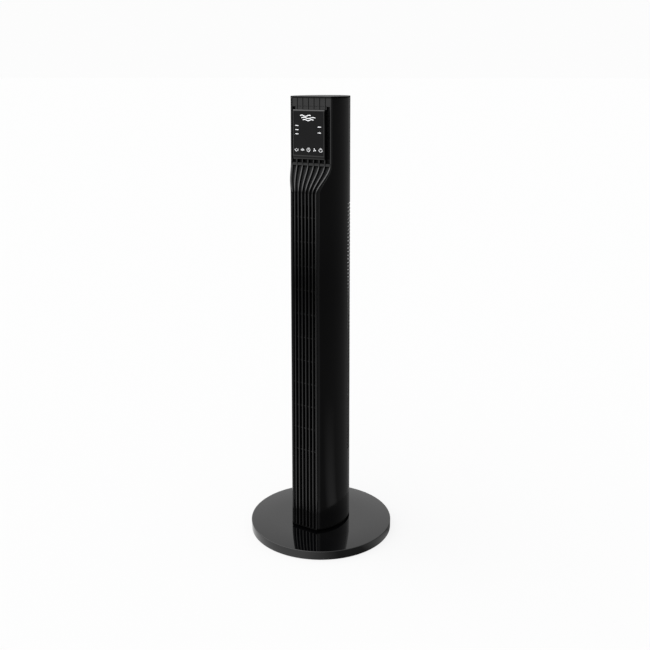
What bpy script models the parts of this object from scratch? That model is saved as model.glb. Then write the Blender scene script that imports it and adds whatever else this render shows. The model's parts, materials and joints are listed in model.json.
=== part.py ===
"""Tower fan: a slim oscillating column on a round glossy base.

Metres, +Z up, front towards -Y. The origin is on the floor, on the axis that the column swings about.
The column's section is an ellipse cut flat at the front. Its front face stands forward over the air
outlet and is set back at the head, with an S-curve between, so the face is narrow below and wide above.
"""

import math

import bmesh
import bpy
from mathutils import Matrix, Vector

# Driving dimensions of the whole fan
TOTAL_HEIGHT = 0.908
BASE_RADIUS = 0.150
BASE_HEIGHT = 0.0170
RIM_BOTTOM = 0.0008
FOOT_HEIGHT = 0.0021
COLUMN_HALF_WIDTH = 0.0545
COLUMN_HALF_DEPTH = 0.0722
SCALE_AT_FOOT = 1.028
SCALE_AT_TOP = 0.968

# Driving dimensions of the front face
FACE_HALF_LOW = 0.0297
FACE_HALF_HEAD = 0.0468
PROUD_LOW = 0.0036
PROUD_HEAD = 0.0003
CURVE_BOTTOM = 0.725
CURVE_TOP = 0.784
CURVE_STEPS = 6
OUTLET_BOTTOM = 0.177
OUTLET_TOP = 0.703
RIB_COUNT = 6
RIB_WIDTH = 0.0025
RIB_DEPTH = 0.0080
RIM_FACE = 0.0024
DEEP_WALL = (0.0058, 0.0078)
LEDGE_WALL = (0.0014, 0.0078)
LIP_WALL = (0.0012, 0.0040)
LEDGE_BOTTOM = 0.8885
LIP_BOTTOM = 0.7775
LIP_TOP = 0.7822
SILL_BOTTOM = 0.8800
SILL_HALF = 0.0350
TIE_FIRST = 0.196
TIE_PITCH = 0.0484
TIE_COUNT = 11

# Driving dimensions of the rest of the casing
WALL = 0.0025
GAP = 0.0003
COLLAR_RADIUS = 0.0550
COLLAR_TOP = 0.0225
COLUMN_BOTTOM = 0.0250
FLOOR_TOP = 0.0275
CAP_HEIGHT = 0.0038
SEAM_Y = 0.0140
SLOT_PITCH = 0.0074
SLOT_HEIGHT = 0.0039
SLOT_COUNT = 71
SLOT_BOTTOM = 0.180
SLOT_FACETS = 3
RAIL = 0.0055
SPINE_HALF = math.radians(5)
GLAND_HEIGHT = 0.0500
REAR_SCREW_X = 0.0200
REAR_SCREW_HEIGHTS = (0.0390, 0.8900)
REAR_SCREW_LENGTH = 0.0130
BLOCK_X = (0.0080, 0.0240)

# Driving dimensions of what moves
BLOWER_Y = 0.004
BLOWER_RADIUS = 0.0330
BLOWER_BOTTOM = 0.184
BLOWER_TOP = 0.701
BLADE_COUNT = 18
DUCT_MOUTH_X = 0.0275
DUCT_MOUTH_Y = -0.0505
MOTOR_RADIUS = 0.0405
MOTOR_BOTTOM = 0.1005
MOTOR_SPLIT = 0.1330
MOTOR_TOP = 0.1630
MOTOR_SCREW_X = 0.0290
SHAFT_RADIUS = 0.0040
STACK_HALF = 0.0150
BULKHEAD_BOTTOM = 0.1650
BRACKET_BOTTOM = 0.7120
BULKHEAD_THICKNESS = 0.0030
MODULE = 0.001
SECTOR_TEETH = 48
SECTOR_TEETH_CUT = 14
PINION_TEETH = 12
GEAR_BOTTOM = 0.0300
GEAR_TOP = 0.0360
GEAR_CENTRES = 0.03035

# Driving dimensions of the control panel
PANEL_HALF_WIDTH = 0.0358
PANEL_BOTTOM = 0.7895
PANEL_TOP = 0.8830
PANEL_PROUD = 0.0074
PLATE_HALF_WIDTH = 0.0333
PLATE_BOTTOM = 0.7980
PLATE_TOP = 0.8790
KEY_COUNT = 5
KEY_PITCH = 0.0136
KEY_HEIGHT = 0.8080
CABLE_END = (0.0245, -0.0381, 0.8450)

# Places worked out from the dimensions above
DISC_BOTTOM = FOOT_HEIGHT + GAP
DISC_TOP = DISC_BOTTOM + BASE_HEIGHT
CAP_BOTTOM = TOTAL_HEIGHT - CAP_HEIGHT
CASING_TOP = CAP_BOTTOM - GAP
NUT_BOTTOM = GEAR_TOP + 0.0004
BRACKET_LOW = FLOOR_TOP + GAP
BRACKET_HIGH = GEAR_TOP + 0.0090
SWING_MOTOR_BOTTOM = BRACKET_HIGH + 0.0010
OPEN_FRONT = RIB_DEPTH + 2 * GAP
INNER = WALL + 0.0012
ARC_STEPS = 24
FRONT_STEPS = 8

FINISHES = {
    "satin_black_plastic": ((0.012, 0.012, 0.013), 0.42, 0.0),
    "gloss_black_plastic": ((0.006, 0.006, 0.007), 0.08, 0.0),
    "grille_black_plastic": ((0.014, 0.014, 0.015), 0.34, 0.0),
    "touch_glass": ((0.020, 0.020, 0.022), 0.20, 0.0),
    "inner_black_plastic": ((0.010, 0.010, 0.010), 0.60, 0.0),
    "black_rubber": ((0.018, 0.018, 0.018), 0.85, 0.0),
    "pale_nylon": ((0.72, 0.70, 0.64), 0.45, 0.0),
    "cast_iron": ((0.10, 0.10, 0.10), 0.70, 0.8),
    "plated_steel": ((0.55, 0.55, 0.56), 0.30, 1.0),
    "lamination_steel": ((0.30, 0.30, 0.32), 0.45, 1.0),
    "copper_winding": ((0.55, 0.22, 0.09), 0.40, 0.9),
    "bronze_bush": ((0.45, 0.30, 0.14), 0.40, 1.0),
    "motor_aluminium": ((0.50, 0.51, 0.52), 0.40, 1.0),
    "circuit_board": ((0.02, 0.13, 0.05), 0.50, 0.0),
    "cable_sheath": ((0.015, 0.015, 0.016), 0.60, 0.0),
}


# Shape of the column


def scale_at(z):
    """The column narrows evenly from its foot to its top."""
    return SCALE_AT_FOOT + (SCALE_AT_TOP - SCALE_AT_FOOT) * z / TOTAL_HEIGHT


def half_axes(z, inset=0.0):
    scale = scale_at(z)
    return COLUMN_HALF_WIDTH * scale - inset, COLUMN_HALF_DEPTH * scale - inset


def curve_share(z):
    """How far the S-curve has come at height z: 0 below it, 1 above it."""
    t = min(max((z - CURVE_BOTTOM) / (CURVE_TOP - CURVE_BOTTOM), 0.0), 1.0)
    return t * t * (3 - 2 * t)


def cut_y(z):
    """Y of the plane that cuts the ellipse at height z."""
    b = half_axes(z)[1]
    shares = (FACE_HALF_LOW / COLUMN_HALF_WIDTH, FACE_HALF_HEAD / COLUMN_HALF_WIDTH)
    low, head = (-b * math.sqrt(1 - share**2) for share in shares)
    return low + (head - low) * curve_share(z)


def front_y(z):
    """Y of the front face, which stands proud of the cut, and less so at the head."""
    return cut_y(z) - PROUD_LOW - (PROUD_HEAD - PROUD_LOW) * curve_share(z)


def side_x(y, z, inset=0.0):
    """X of the column's right side at depth y."""
    a, b = half_axes(z, inset)
    return a * math.sqrt(1 - (y / b) ** 2)


def side_y(x, z, inset=0.0):
    """Y of the column's back at x."""
    a, b = half_axes(z, inset)
    return b * math.sqrt(1 - (x / a) ** 2)


def curve_stations(bottom, top):
    """Heights from bottom to top, close together through the S-curve."""
    rise = (CURVE_TOP - CURVE_BOTTOM) / CURVE_STEPS
    inside = [CURVE_BOTTOM + rise * i for i in range(CURVE_STEPS + 1)]
    return [bottom] + [z for z in inside if bottom < z < top] + [top]


def section(z, inset, front):
    """The column's section: an arc from the right corner round the back, then the straight front.

    Where the front lies ahead of the cut, straight walls lead from the arc's ends to it.
    """
    a, b = half_axes(z, inset)
    y = front_y(z) + front
    corner = max(y, cut_y(z))
    start = math.asin(corner / b)
    turn = math.pi - 2 * start
    angles = [start + turn * i / ARC_STEPS for i in range(ARC_STEPS + 1)]
    arc = [(a * math.cos(angle), b * math.sin(angle), z) for angle in angles]
    half = a * math.cos(start)
    shares = [i / FRONT_STEPS for i in range(1, FRONT_STEPS)]
    if y < corner:
        shares = [i / (FRONT_STEPS - 2) for i in range(FRONT_STEPS - 1)]
    return arc + [(half * (2 * share - 1), y, z) for share in shares]


# Mesh tools


def make_object(name, mesh):
    bmesh.ops.recalc_face_normals(mesh, faces=mesh.faces)
    data = bpy.data.meshes.new(name)
    mesh.to_mesh(data)
    mesh.free()
    obj = bpy.data.objects.new(name, data)
    bpy.context.scene.collection.objects.link(obj)
    data.shade_smooth()
    data.set_sharp_from_angle(angle=math.radians(35))
    return obj


def skin(name, rings, around=False):
    """A closed body over rings of equal length: capped at both ends or, with around, joined end to end."""
    mesh = bmesh.new()
    loops = [[mesh.verts.new(point) for point in ring] for ring in rings]
    pairs = list(zip(loops, loops[1:]))
    if around:
        pairs.append((loops[-1], loops[0]))
    for low, high in pairs:
        for i in range(len(low)):
            j = (i + 1) % len(low)
            mesh.faces.new((low[i], low[j], high[j], high[i]))
    if not around:
        mesh.faces.new(loops[0][::-1])
        mesh.faces.new(loops[-1])
    return make_object(name, mesh)


def circle(radius, z, sides, centre=(0.0, 0.0)):
    angles = [2 * math.pi * i / sides for i in range(sides)]
    return [(centre[0] + radius * math.cos(a), centre[1] + radius * math.sin(a), z) for a in angles]


def turned(name, profile, sides=24, centre=(0.0, 0.0), around=True):
    """A body of revolution about a vertical axis, from (radius, z) points. With around it is a ring."""
    return skin(name, [circle(radius, z, sides, centre) for radius, z in profile], around)


def tube(inner, outer, bottom, top):
    """The profile of a plain ring, for turned."""
    return [(inner, top), (outer, top), (outer, bottom), (inner, bottom)]


def box(name, low, high):
    rings = [
        [(low[0], low[1], z), (high[0], low[1], z), (high[0], high[1], z), (low[0], high[1], z)]
        for z in (low[2], high[2])
    ]
    return skin(name, rings)


def prism(name, outline, bottom, top):
    return skin(name, [[(x, y, z) for x, y in outline] for z in (bottom, top)])


def circle_like(ring, radius, z, centre=(0.0, 0.0)):
    """A circle with a point on the same bearing as each point of the ring."""
    bearings = [math.atan2(point[1] - centre[1], point[0] - centre[0]) for point in ring]
    return [(centre[0] + radius * math.cos(a), centre[1] + radius * math.sin(a), z) for a in bearings]


def plate_with_hole(name, z, thickness, hole, centre=(0.0, 0.0)):
    """A bulkhead across the column with a round hole."""
    rings = []
    for height in (z, z + thickness):
        edge = section(height, INNER + GAP, OPEN_FRONT)
        rings.append(edge)
        rings.append(circle_like(edge, hole, height, centre))
    return skin(name, [rings[0], rings[2], rings[3], rings[1]], around=True)


def aim(obj, place, direction):
    """Puts a body that was made along +Z at a place, pointing along a direction."""
    turn = Vector((0, 0, 1)).rotation_difference(Vector(direction)).to_matrix().to_4x4()
    obj.data.transform(Matrix.Translation(Vector(place)) @ turn)
    return obj


def combine(obj, others, operation):
    """Adds the other bodies to this one, or cuts them from it."""
    group = bpy.data.collections.new(f"{obj.name}_{operation.lower()}")
    bpy.context.scene.collection.children.link(group)
    for other in others:
        bpy.context.scene.collection.objects.unlink(other)
        group.objects.link(other)
        other.hide_render = True
        other.display_type = "WIRE"
    modifier = obj.modifiers.new(operation.title(), "BOOLEAN")
    modifier.operation = operation
    modifier.operand_type = "COLLECTION"
    modifier.collection = group
    return obj


# The base, which stays still


def base_boss_places():
    radius = BASE_RADIUS - 0.013
    bearings = [math.radians(90 + 120 * i) for i in range(3)]
    return [(radius * math.cos(a), radius * math.sin(a)) for a in bearings]


def make_base_cover():
    hole = 0.0130
    chamfer = 0.0012
    under = DISC_TOP - 0.0032
    inside = BASE_RADIUS - 0.0030
    profile = [
        (hole, DISC_TOP),
        (BASE_RADIUS - chamfer, DISC_TOP),
        (BASE_RADIUS, DISC_TOP - chamfer),
        (BASE_RADIUS, RIM_BOTTOM),
        (inside, RIM_BOTTOM),
        (inside, under),
        (hole, under),
    ]
    cover = turned("base_cover", profile, sides=64)
    bosses = [
        turned(f"base_boss_{i}", [(0.005, 0.0058), (0.005, under + 0.001)], 12, place, around=False)
        for i, place in enumerate(base_boss_places())
    ]
    bores = [
        turned(f"base_bore_{i}", [(0.0023, 0.0050), (0.0023, 0.0140)], 10, place, around=False)
        for i, place in enumerate(base_boss_places())
    ]
    combine(cover, bosses, "UNION")
    return [combine(cover, bores, "DIFFERENCE")]


def make_base_plate():
    bottom = DISC_BOTTOM
    top = bottom + 0.0028
    rim = BASE_RADIUS - 0.0033
    plate = turned("base_plate", [(0.006, top), (rim, top), (rim, bottom), (0.006, bottom)], sides=32)
    holes = [
        turned(f"plate_hole_{i}", [(0.0023, 0.0), (0.0023, 0.010)], 10, place, around=False)
        for i, place in enumerate(base_boss_places())
    ]
    return [combine(plate, holes, "DIFFERENCE")]


def make_base_screws():
    """Three screws from below, their heads just under the plate."""
    head_top = DISC_BOTTOM - GAP
    profile = [(0.0040, head_top - 0.0014), (0.0040, head_top), (0.0020, head_top), (0.0020, 0.0130)]
    places = enumerate(base_boss_places(), 1)
    return [turned(f"base_screw_{i}", profile, 10, place, around=False) for i, place in places]


def make_rubber_feet():
    radius = 0.0100
    offset = (BASE_RADIUS - 0.022) / math.sqrt(2)
    profile = [(radius - 0.0006, 0.0), (radius, 0.0006), (radius, FOOT_HEIGHT)]
    places = [(x, y) for x in (-offset, offset) for y in (-offset, offset)]
    return [
        turned(f"rubber_foot_{i}", profile, 16, place, around=False) for i, place in enumerate(places, 1)
    ]


def make_base_insides():
    bottom = DISC_BOTTOM + 0.0031
    bore, post_radius, flange, post_top = 0.0065, 0.0100, 0.0280, NUT_BOTTOM + 0.0076
    counterweight = tube(0.060, 0.127, bottom, bottom + 0.0071)
    post = [
        (bore, post_top),
        (post_radius, post_top),
        (post_radius, bottom + 0.0030),
        (flange, bottom + 0.0030),
        (flange, bottom),
        (bore, bottom),
    ]
    washer = tube(post_radius + 0.0006, 0.0240, DISC_TOP + GAP, DISC_TOP + GAP + 0.0008)
    nut = tube(post_radius + GAP, 0.0150, NUT_BOTTOM, NUT_BOTTOM + 0.0051)
    return [
        turned("counterweight", counterweight, 28),
        turned("pivot_post", post, 20),
        turned("glide_washer", washer, 20),
        turned("pivot_nut", nut, 20),
    ]


def tooth(bearing, pitch_radius, outer, root, tooth_width):
    """One straight-sided tooth: (radius, angle) at the root, tip, tip and root."""
    slope = math.tan(math.radians(20))
    root_half = (tooth_width / 2 + (pitch_radius - root) * slope) / root
    tip_half = (tooth_width / 2 - (outer - pitch_radius) * slope) / outer
    return [
        (root, bearing - root_half),
        (outer, bearing - tip_half),
        (outer, bearing + tip_half),
        (root, bearing + root_half),
    ]


def gear_outline(teeth, bearings):
    pitch_radius = MODULE * teeth / 2
    sizes = (pitch_radius, pitch_radius + 0.85 * MODULE, pitch_radius - 1.15 * MODULE, 1.35 * MODULE)
    return [point for bearing in bearings for point in tooth(bearing, *sizes)]


def make_sector_gear():
    """Teeth only where the pinion rolls; the rest is a plain round hub. A space faces +Y at rest."""
    pitch = 2 * math.pi / SECTOR_TEETH
    first = math.pi / 2 - pitch * (SECTOR_TEETH_CUT - 1) / 2
    polar = gear_outline(SECTOR_TEETH, [first + pitch * i for i in range(SECTOR_TEETH_CUT)])
    hub = 0.0170
    start, end = polar[-1][1] + pitch, polar[0][1] + 2 * math.pi - pitch
    hub_steps = 12
    polar += [(hub, start + (end - start) * i / hub_steps) for i in range(hub_steps + 1)]
    rings = [[(r * math.cos(a), r * math.sin(a), z) for r, a in polar] for z in (GEAR_BOTTOM, GEAR_TOP)]
    holes = [circle_like(ring, 0.0103, ring[0][2]) for ring in rings]
    return [skin("sector_gear", [rings[0], rings[1], holes[1], holes[0]], around=True)]


def make_pinion():
    """The pinion and its shaft, on the swing motor's axis. A tooth faces the sector's middle space."""
    pitch = 2 * math.pi / PINION_TEETH
    polar = gear_outline(PINION_TEETH, [-math.pi / 2 + pitch * i for i in range(PINION_TEETH)])
    rings = [
        [(r * math.cos(a), GEAR_CENTRES + r * math.sin(a), z) for r, a in polar]
        for z in (GEAR_BOTTOM, GEAR_TOP + 0.0005)
    ]
    centre = (0.0, GEAR_CENTRES)
    shaft = [circle_like(rings[0], 0.0025, z, centre) for z in (GEAR_TOP + 0.0005, SWING_MOTOR_BOTTOM - GAP)]
    return [skin("drive_pinion", rings + shaft)]


# The column's casing


def rear_screw_frames():
    """Where each rear screw enters the casing, and the outward normal there."""
    frames = []
    for z in REAR_SCREW_HEIGHTS:
        for x in (-REAR_SCREW_X, REAR_SCREW_X):
            a, b = half_axes(z)
            y = side_y(x, z)
            frames.append(((x, y, z), Vector((x / a**2, y / b**2, 0)).normalized()))
    return frames


def rear_screw_bores(name, bottom, top):
    """Cutters for the rear screws whose height lies between bottom and top."""
    bores = []
    for i, (place, normal) in enumerate(rear_screw_frames()):
        if bottom < place[2] < top:
            line = [(0.0021, -REAR_SCREW_LENGTH - 0.0015), (0.0021, 0.0030)]
            bore = turned(f"{name}_bore_{i}", line, 10, around=False)
            bores.append(aim(bore, place, normal))
    return bores


def screw_blocks(name, front, back, bottom, top):
    """The two blocks that the rear screws bite into."""
    near, far = BLOCK_X
    return [
        box(f"{name}_block_right", (near, front, bottom), (far, back, top)),
        box(f"{name}_block_left", (-far, front, bottom), (-near, back, top)),
    ]


def make_column_floor():
    """A tray that closes the column below, on a round collar, with a hub round the pivot post."""
    wall, flange, hub, bore = 0.0042, 0.0022, 0.0160, 0.0104
    lip = DISC_TOP + 0.0006
    hub_bottom, hub_top = DISC_TOP + 0.0014, GEAR_BOTTOM - 0.0006
    underside = COLLAR_TOP + 0.0026
    edge = section(COLLAR_TOP, 0.0, 0.0)
    inside = section(COLLAR_TOP + flange, INNER + GAP, OPEN_FRONT)
    rings = [
        circle_like(edge, COLLAR_RADIUS, lip),
        circle_like(edge, COLLAR_RADIUS, COLLAR_TOP),
        edge,
        section(COLLAR_TOP + flange, 0.0, 0.0),
        inside,
        section(FLOOR_TOP, INNER + GAP, OPEN_FRONT),
        circle_like(inside, hub, FLOOR_TOP),
        circle_like(inside, hub, hub_top),
        circle_like(inside, bore, hub_top),
        circle_like(inside, bore, hub_bottom),
        circle_like(inside, hub, hub_bottom),
        circle_like(inside, hub, underside),
        circle_like(edge, COLLAR_RADIUS - wall, underside),
        circle_like(edge, COLLAR_RADIUS - wall, lip),
    ]
    floor = skin("column_floor", rings, around=True)
    combine(floor, screw_blocks("floor", 0.0500, 0.0600, FLOOR_TOP - 0.0010, BRACKET_HIGH), "UNION")
    return [combine(floor, rear_screw_bores("floor", 0.0, 0.1), "DIFFERENCE")]


def make_top_cap():
    chamfer = 0.0012
    rings = [
        section(CAP_BOTTOM - 0.006, INNER + GAP, OPEN_FRONT),
        section(CAP_BOTTOM, INNER + GAP, OPEN_FRONT),
        section(CAP_BOTTOM, 0.0, 0.0),
        section(TOTAL_HEIGHT - chamfer, 0.0, 0.0),
        section(TOTAL_HEIGHT, chamfer, chamfer),
    ]
    cap = skin("top_cap", rings)
    blocks = screw_blocks("cap", 0.0460, 0.0560, REAR_SCREW_HEIGHTS[1] - 0.0080, CAP_BOTTOM - 0.0020)
    combine(cap, blocks, "UNION")
    return [combine(cap, rear_screw_bores("cap", 0.8, 1.0), "DIFFERENCE")]


def make_side_panel(name, side):
    """A smooth side of the casing, from the front face's edge back to the seam."""
    steps = 8
    rings = []
    for z in curve_stations(COLUMN_BOTTOM, CASING_TOP):
        front = cut_y(z) + RIM_FACE + 2 * GAP
        ring = []
        for inset in (0.0, WALL):
            a, b = half_axes(z, inset)
            start, end = math.asin(front / b), math.asin(SEAM_Y / b)
            angles = [start + (end - start) * i / steps for i in range(steps + 1)]
            arc = [(side * a * math.cos(angle), b * math.sin(angle), z) for angle in angles]
            ring += arc if inset == 0.0 else arc[::-1]
        rings.append(ring)
    return skin(name, rings)


def rim_ring(side, z):
    """Section of the front face's rim: a straight side, a lip on the ellipse and a leg that reaches back."""
    y, cut = front_y(z), cut_y(z)
    x = side_x(cut, z)
    lip = cut + RIM_FACE + GAP / 2
    points = [
        (x - RIM_FACE, y),
        (x, y),
        (x, cut),
        (side_x(lip, z), lip),
        (x - 0.0020, lip),
        (x - 0.0020, y + RIB_DEPTH),
        (x - 0.0040, y + RIB_DEPTH),
        (x - 0.0040, y + 0.0018),
    ]
    return [(side * px, py, z) for px, py in points]


def rib_ring(share, z):
    y = front_y(z)
    x = share * (side_x(cut_y(z), z) - RIM_FACE / 2)
    half = RIB_WIDTH / 2
    return [(x - half, y, z), (x + half, y, z), (x + half, y + RIB_DEPTH, z), (x - half, y + RIB_DEPTH, z)]


def backing(name, bottom, top, depths, reach=1.0):
    """A closed wall behind the ribs, between two depths and as wide as reach allows."""
    rings = []
    for z in curve_stations(bottom, top):
        front, back = (front_y(z) + depth for depth in depths)
        half = min(side_x(cut_y(z), z) - 0.0030, reach)
        rings.append([(-half, front, z), (half, front, z), (half, back, z), (-half, back, z)])
    return skin(name, rings)


def make_front_grille():
    """Ribs, rims, cross ties and the closed walls below and above the outlet, in one moulding."""
    stations = curve_stations(COLUMN_BOTTOM, CASING_TOP)
    grille = skin("front_grille", [rim_ring(1, z) for z in stations])
    parts = [skin("rim_left", [rim_ring(-1, z) for z in stations])]
    for i in range(1, RIB_COUNT + 1):
        share = 2 * i / (RIB_COUNT + 1) - 1
        parts.append(skin(f"rib_{i}", [rib_ring(share, z) for z in stations]))
    parts.append(backing("skirt_wall", COLUMN_BOTTOM, OUTLET_BOTTOM, DEEP_WALL))
    parts.append(backing("curve_wall", OUTLET_TOP, LEDGE_BOTTOM + 0.0020, DEEP_WALL))
    parts.append(backing("curve_lip", LIP_BOTTOM, LIP_TOP, LIP_WALL))
    parts.append(backing("head_ledge", LEDGE_BOTTOM, CASING_TOP, LEDGE_WALL))
    parts.append(backing("head_sill", SILL_BOTTOM, LEDGE_BOTTOM + 0.0010, LEDGE_WALL, SILL_HALF))
    tie_front, tie_back, tie_half_height = 0.0042, 0.0071, 0.00125
    for i in range(TIE_COUNT):
        z = TIE_FIRST + TIE_PITCH * i
        y = front_y(z)
        half = side_x(cut_y(z), z) - 0.0030
        low = (-half, y + tie_front, z - tie_half_height)
        high = (half, y + tie_back, z + tie_half_height)
        parts.append(box(f"tie_{i}", low, high))
    combine(grille, parts, "UNION")
    x, y, z = CABLE_END
    way = box("wire_way", (x - 0.0030, y + 0.0012, z - 0.0070), (x + 0.0030, y + 0.0172, z + 0.0070))
    return [combine(grille, [way], "DIFFERENCE")]


def rear_angles(b):
    """Angles of the rear cover's columns of cells, for a half depth b: rail, slots, spine, slots, rail."""
    seam = math.asin((SEAM_Y + GAP) / b)
    first = math.asin((SEAM_Y + RAIL) / b)
    middle = math.pi / 2 - SPINE_HALF
    right = [seam] + [first + (middle - first) * i / SLOT_FACETS for i in range(SLOT_FACETS + 1)]
    return right + [math.pi - angle for angle in reversed(right)]


def rear_rows():
    """Heights of the rear cover's rows of cells, and which rows are slotted."""
    heights, slotted = [COLUMN_BOTTOM], []
    for i in range(SLOT_COUNT):
        low = SLOT_BOTTOM + SLOT_PITCH * i
        heights += [low, low + SLOT_HEIGHT]
        slotted += [False, True]
    return heights + [CASING_TOP], slotted + [False]


def make_rear_cover():
    """The back half of the casing, slotted for the intake: a grid of cells, where slots are left out."""
    heights, open_rows = rear_rows()
    slotted = [False] + [True] * SLOT_FACETS + [False] + [True] * SLOT_FACETS + [False]
    rows, columns = len(open_rows), len(slotted)
    mesh = bmesh.new()

    def corner(inset, i, j):
        a, b = half_axes(heights[j], inset)
        angle = rear_angles(b)[i]
        return mesh.verts.new((a * math.cos(angle), b * math.sin(angle), heights[j]))

    def solid(i, j):
        return 0 <= i < columns and 0 <= j < rows and not (slotted[i] and open_rows[j])

    points = [
        [[corner(inset, i, j) for j in range(rows + 1)] for i in range(columns + 1)]
        for inset in (0.0, WALL)
    ]

    def wall(a, b):
        outer, inner = points
        mesh.faces.new((outer[a[0]][a[1]], outer[b[0]][b[1]], inner[b[0]][b[1]], inner[a[0]][a[1]]))

    for i in range(columns):
        for j in range(rows):
            if not solid(i, j):
                continue
            cell = [(i, j), (i + 1, j), (i + 1, j + 1), (i, j + 1)]
            for layer in points:
                mesh.faces.new([layer[p][q] for p, q in cell])
            for beside, a, b in (
                ((i, j - 1), cell[0], cell[1]),
                ((i + 1, j), cell[1], cell[2]),
                ((i, j + 1), cell[2], cell[3]),
                ((i - 1, j), cell[3], cell[0]),
            ):
                if not solid(*beside):
                    wall(a, b)
    cover = make_object("rear_cover", mesh)
    gland_hole = turned("gland_hole", [(0.0054, -0.012), (0.0054, 0.006)], 16, around=False)
    aim(gland_hole, (0, side_y(0, GLAND_HEIGHT), GLAND_HEIGHT), (0, 1, 0))
    return [combine(cover, [gland_hole] + rear_screw_bores("cover", 0.0, 1.0), "DIFFERENCE")]


def make_cord_gland():
    """A bush for the mains lead, with an open bore and a flange on each side of the rear cover."""
    bore, neck, flange, nut = 0.0036, 0.0050, 0.0078, 0.0072
    outside, inside = 0.0006, -WALL - 0.0020
    profile = [
        (bore, 0.0034),
        (flange - 0.0008, 0.0034),
        (flange, 0.0026),
        (flange, outside),
        (neck, outside),
        (neck, inside),
        (nut, inside),
        (nut, inside - 0.0030),
        (bore, inside - 0.0030),
    ]
    gland = turned("cord_gland", profile, 16)
    return aim(gland, (0, side_y(0, GLAND_HEIGHT), GLAND_HEIGHT), (0, 1, 0))


def make_rear_screws():
    """Pan-head screws along the casing's normal, into the floor's and the cap's blocks."""
    shank, head, under, crown = 0.0018, 0.0034, 0.0004, 0.0024
    profile = [(shank, -REAR_SCREW_LENGTH), (shank, under), (head, under), (head, 0.0016), (0.0026, crown)]
    screws = []
    for i, (place, normal) in enumerate(rear_screw_frames(), 1):
        screw = turned(f"rear_screw_{i}", profile, 12, around=False)
        screws.append(aim(screw, place, normal))
    return screws


# Inside the column


def wall_outline(path, thickness):
    """A thin wall of constant thickness along a path, on its left side."""
    path = [Vector(point) for point in path]
    outer = []
    for i, point in enumerate(path):
        before, after = path[max(i - 1, 0)], path[min(i + 1, len(path) - 1)]
        along = (after - before).normalized()
        outer.append(point + Vector((-along.y, along.x)) * thickness)
    return [tuple(p) for p in path] + [tuple(p) for p in reversed(outer)]


def make_ducts():
    """The scroll on the right and the tongue on the left, which lead the air from blower to outlet."""
    bottom, top = BULKHEAD_BOTTOM + 0.0040, BRACKET_BOTTOM - 0.0010
    steps, start, end = 10, math.radians(-35), math.radians(65)
    path = [(DUCT_MOUTH_X, DUCT_MOUTH_Y)]
    for i in range(steps + 1):
        angle = start + (end - start) * i / steps
        radius = 0.0360 + 0.0075 * (1 - i / steps)
        path.append((radius * math.cos(angle), BLOWER_Y + radius * math.sin(angle)))
    path = [(x, y) for x, y in reversed(path)]
    tongue = [(-DUCT_MOUTH_X, DUCT_MOUTH_Y), (-0.0345, -0.0240), (-0.0375, -0.0150), (-0.0415, -0.0125)]
    return [
        prism("duct_scroll", wall_outline(path, 0.0018), bottom, top),
        prism("vortex_tongue", wall_outline(list(reversed(tongue)), 0.0018), bottom, top),
    ]


def cable_notch(name, z):
    return box(name, (0.0432, -0.0085, z - 0.002), (0.0560, 0.0005, z + 0.006))


def motor_bores(name, bottom, top):
    places = [(side * MOTOR_SCREW_X, BLOWER_Y) for side in (-1, 1)]
    return [
        turned(f"{name}_{i}", [(0.0023, bottom), (0.0023, top)], 10, place, around=False)
        for i, place in enumerate(places)
    ]


def make_bulkheads():
    centre = (0.0, BLOWER_Y)
    lower = plate_with_hole("motor_bulkhead", BULKHEAD_BOTTOM, BULKHEAD_THICKNESS, 0.0090, centre)
    upper = plate_with_hole("top_bearing_bracket", BRACKET_BOTTOM, BULKHEAD_THICKNESS, 0.0083, centre)
    cuts = motor_bores("bulkhead_bore", BULKHEAD_BOTTOM - 0.001, BULKHEAD_BOTTOM + 0.004)
    combine(lower, cuts + [cable_notch("lower_notch", BULKHEAD_BOTTOM)], "DIFFERENCE")
    combine(upper, [cable_notch("upper_notch", BRACKET_BOTTOM)], "DIFFERENCE")
    return [lower, upper]


def make_top_bearing():
    centre = (0.0, BLOWER_Y)
    low, high = BRACKET_BOTTOM - 0.0010, BRACKET_BOTTOM + 0.0040
    rubber = tube(0.0053, 0.0080, low, high)
    bush = tube(0.00255, 0.0050, low - 0.0005, high + 0.0005)
    return [turned("bearing_rubber", rubber, 16, centre), turned("top_bearing", bush, 16, centre)]


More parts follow.
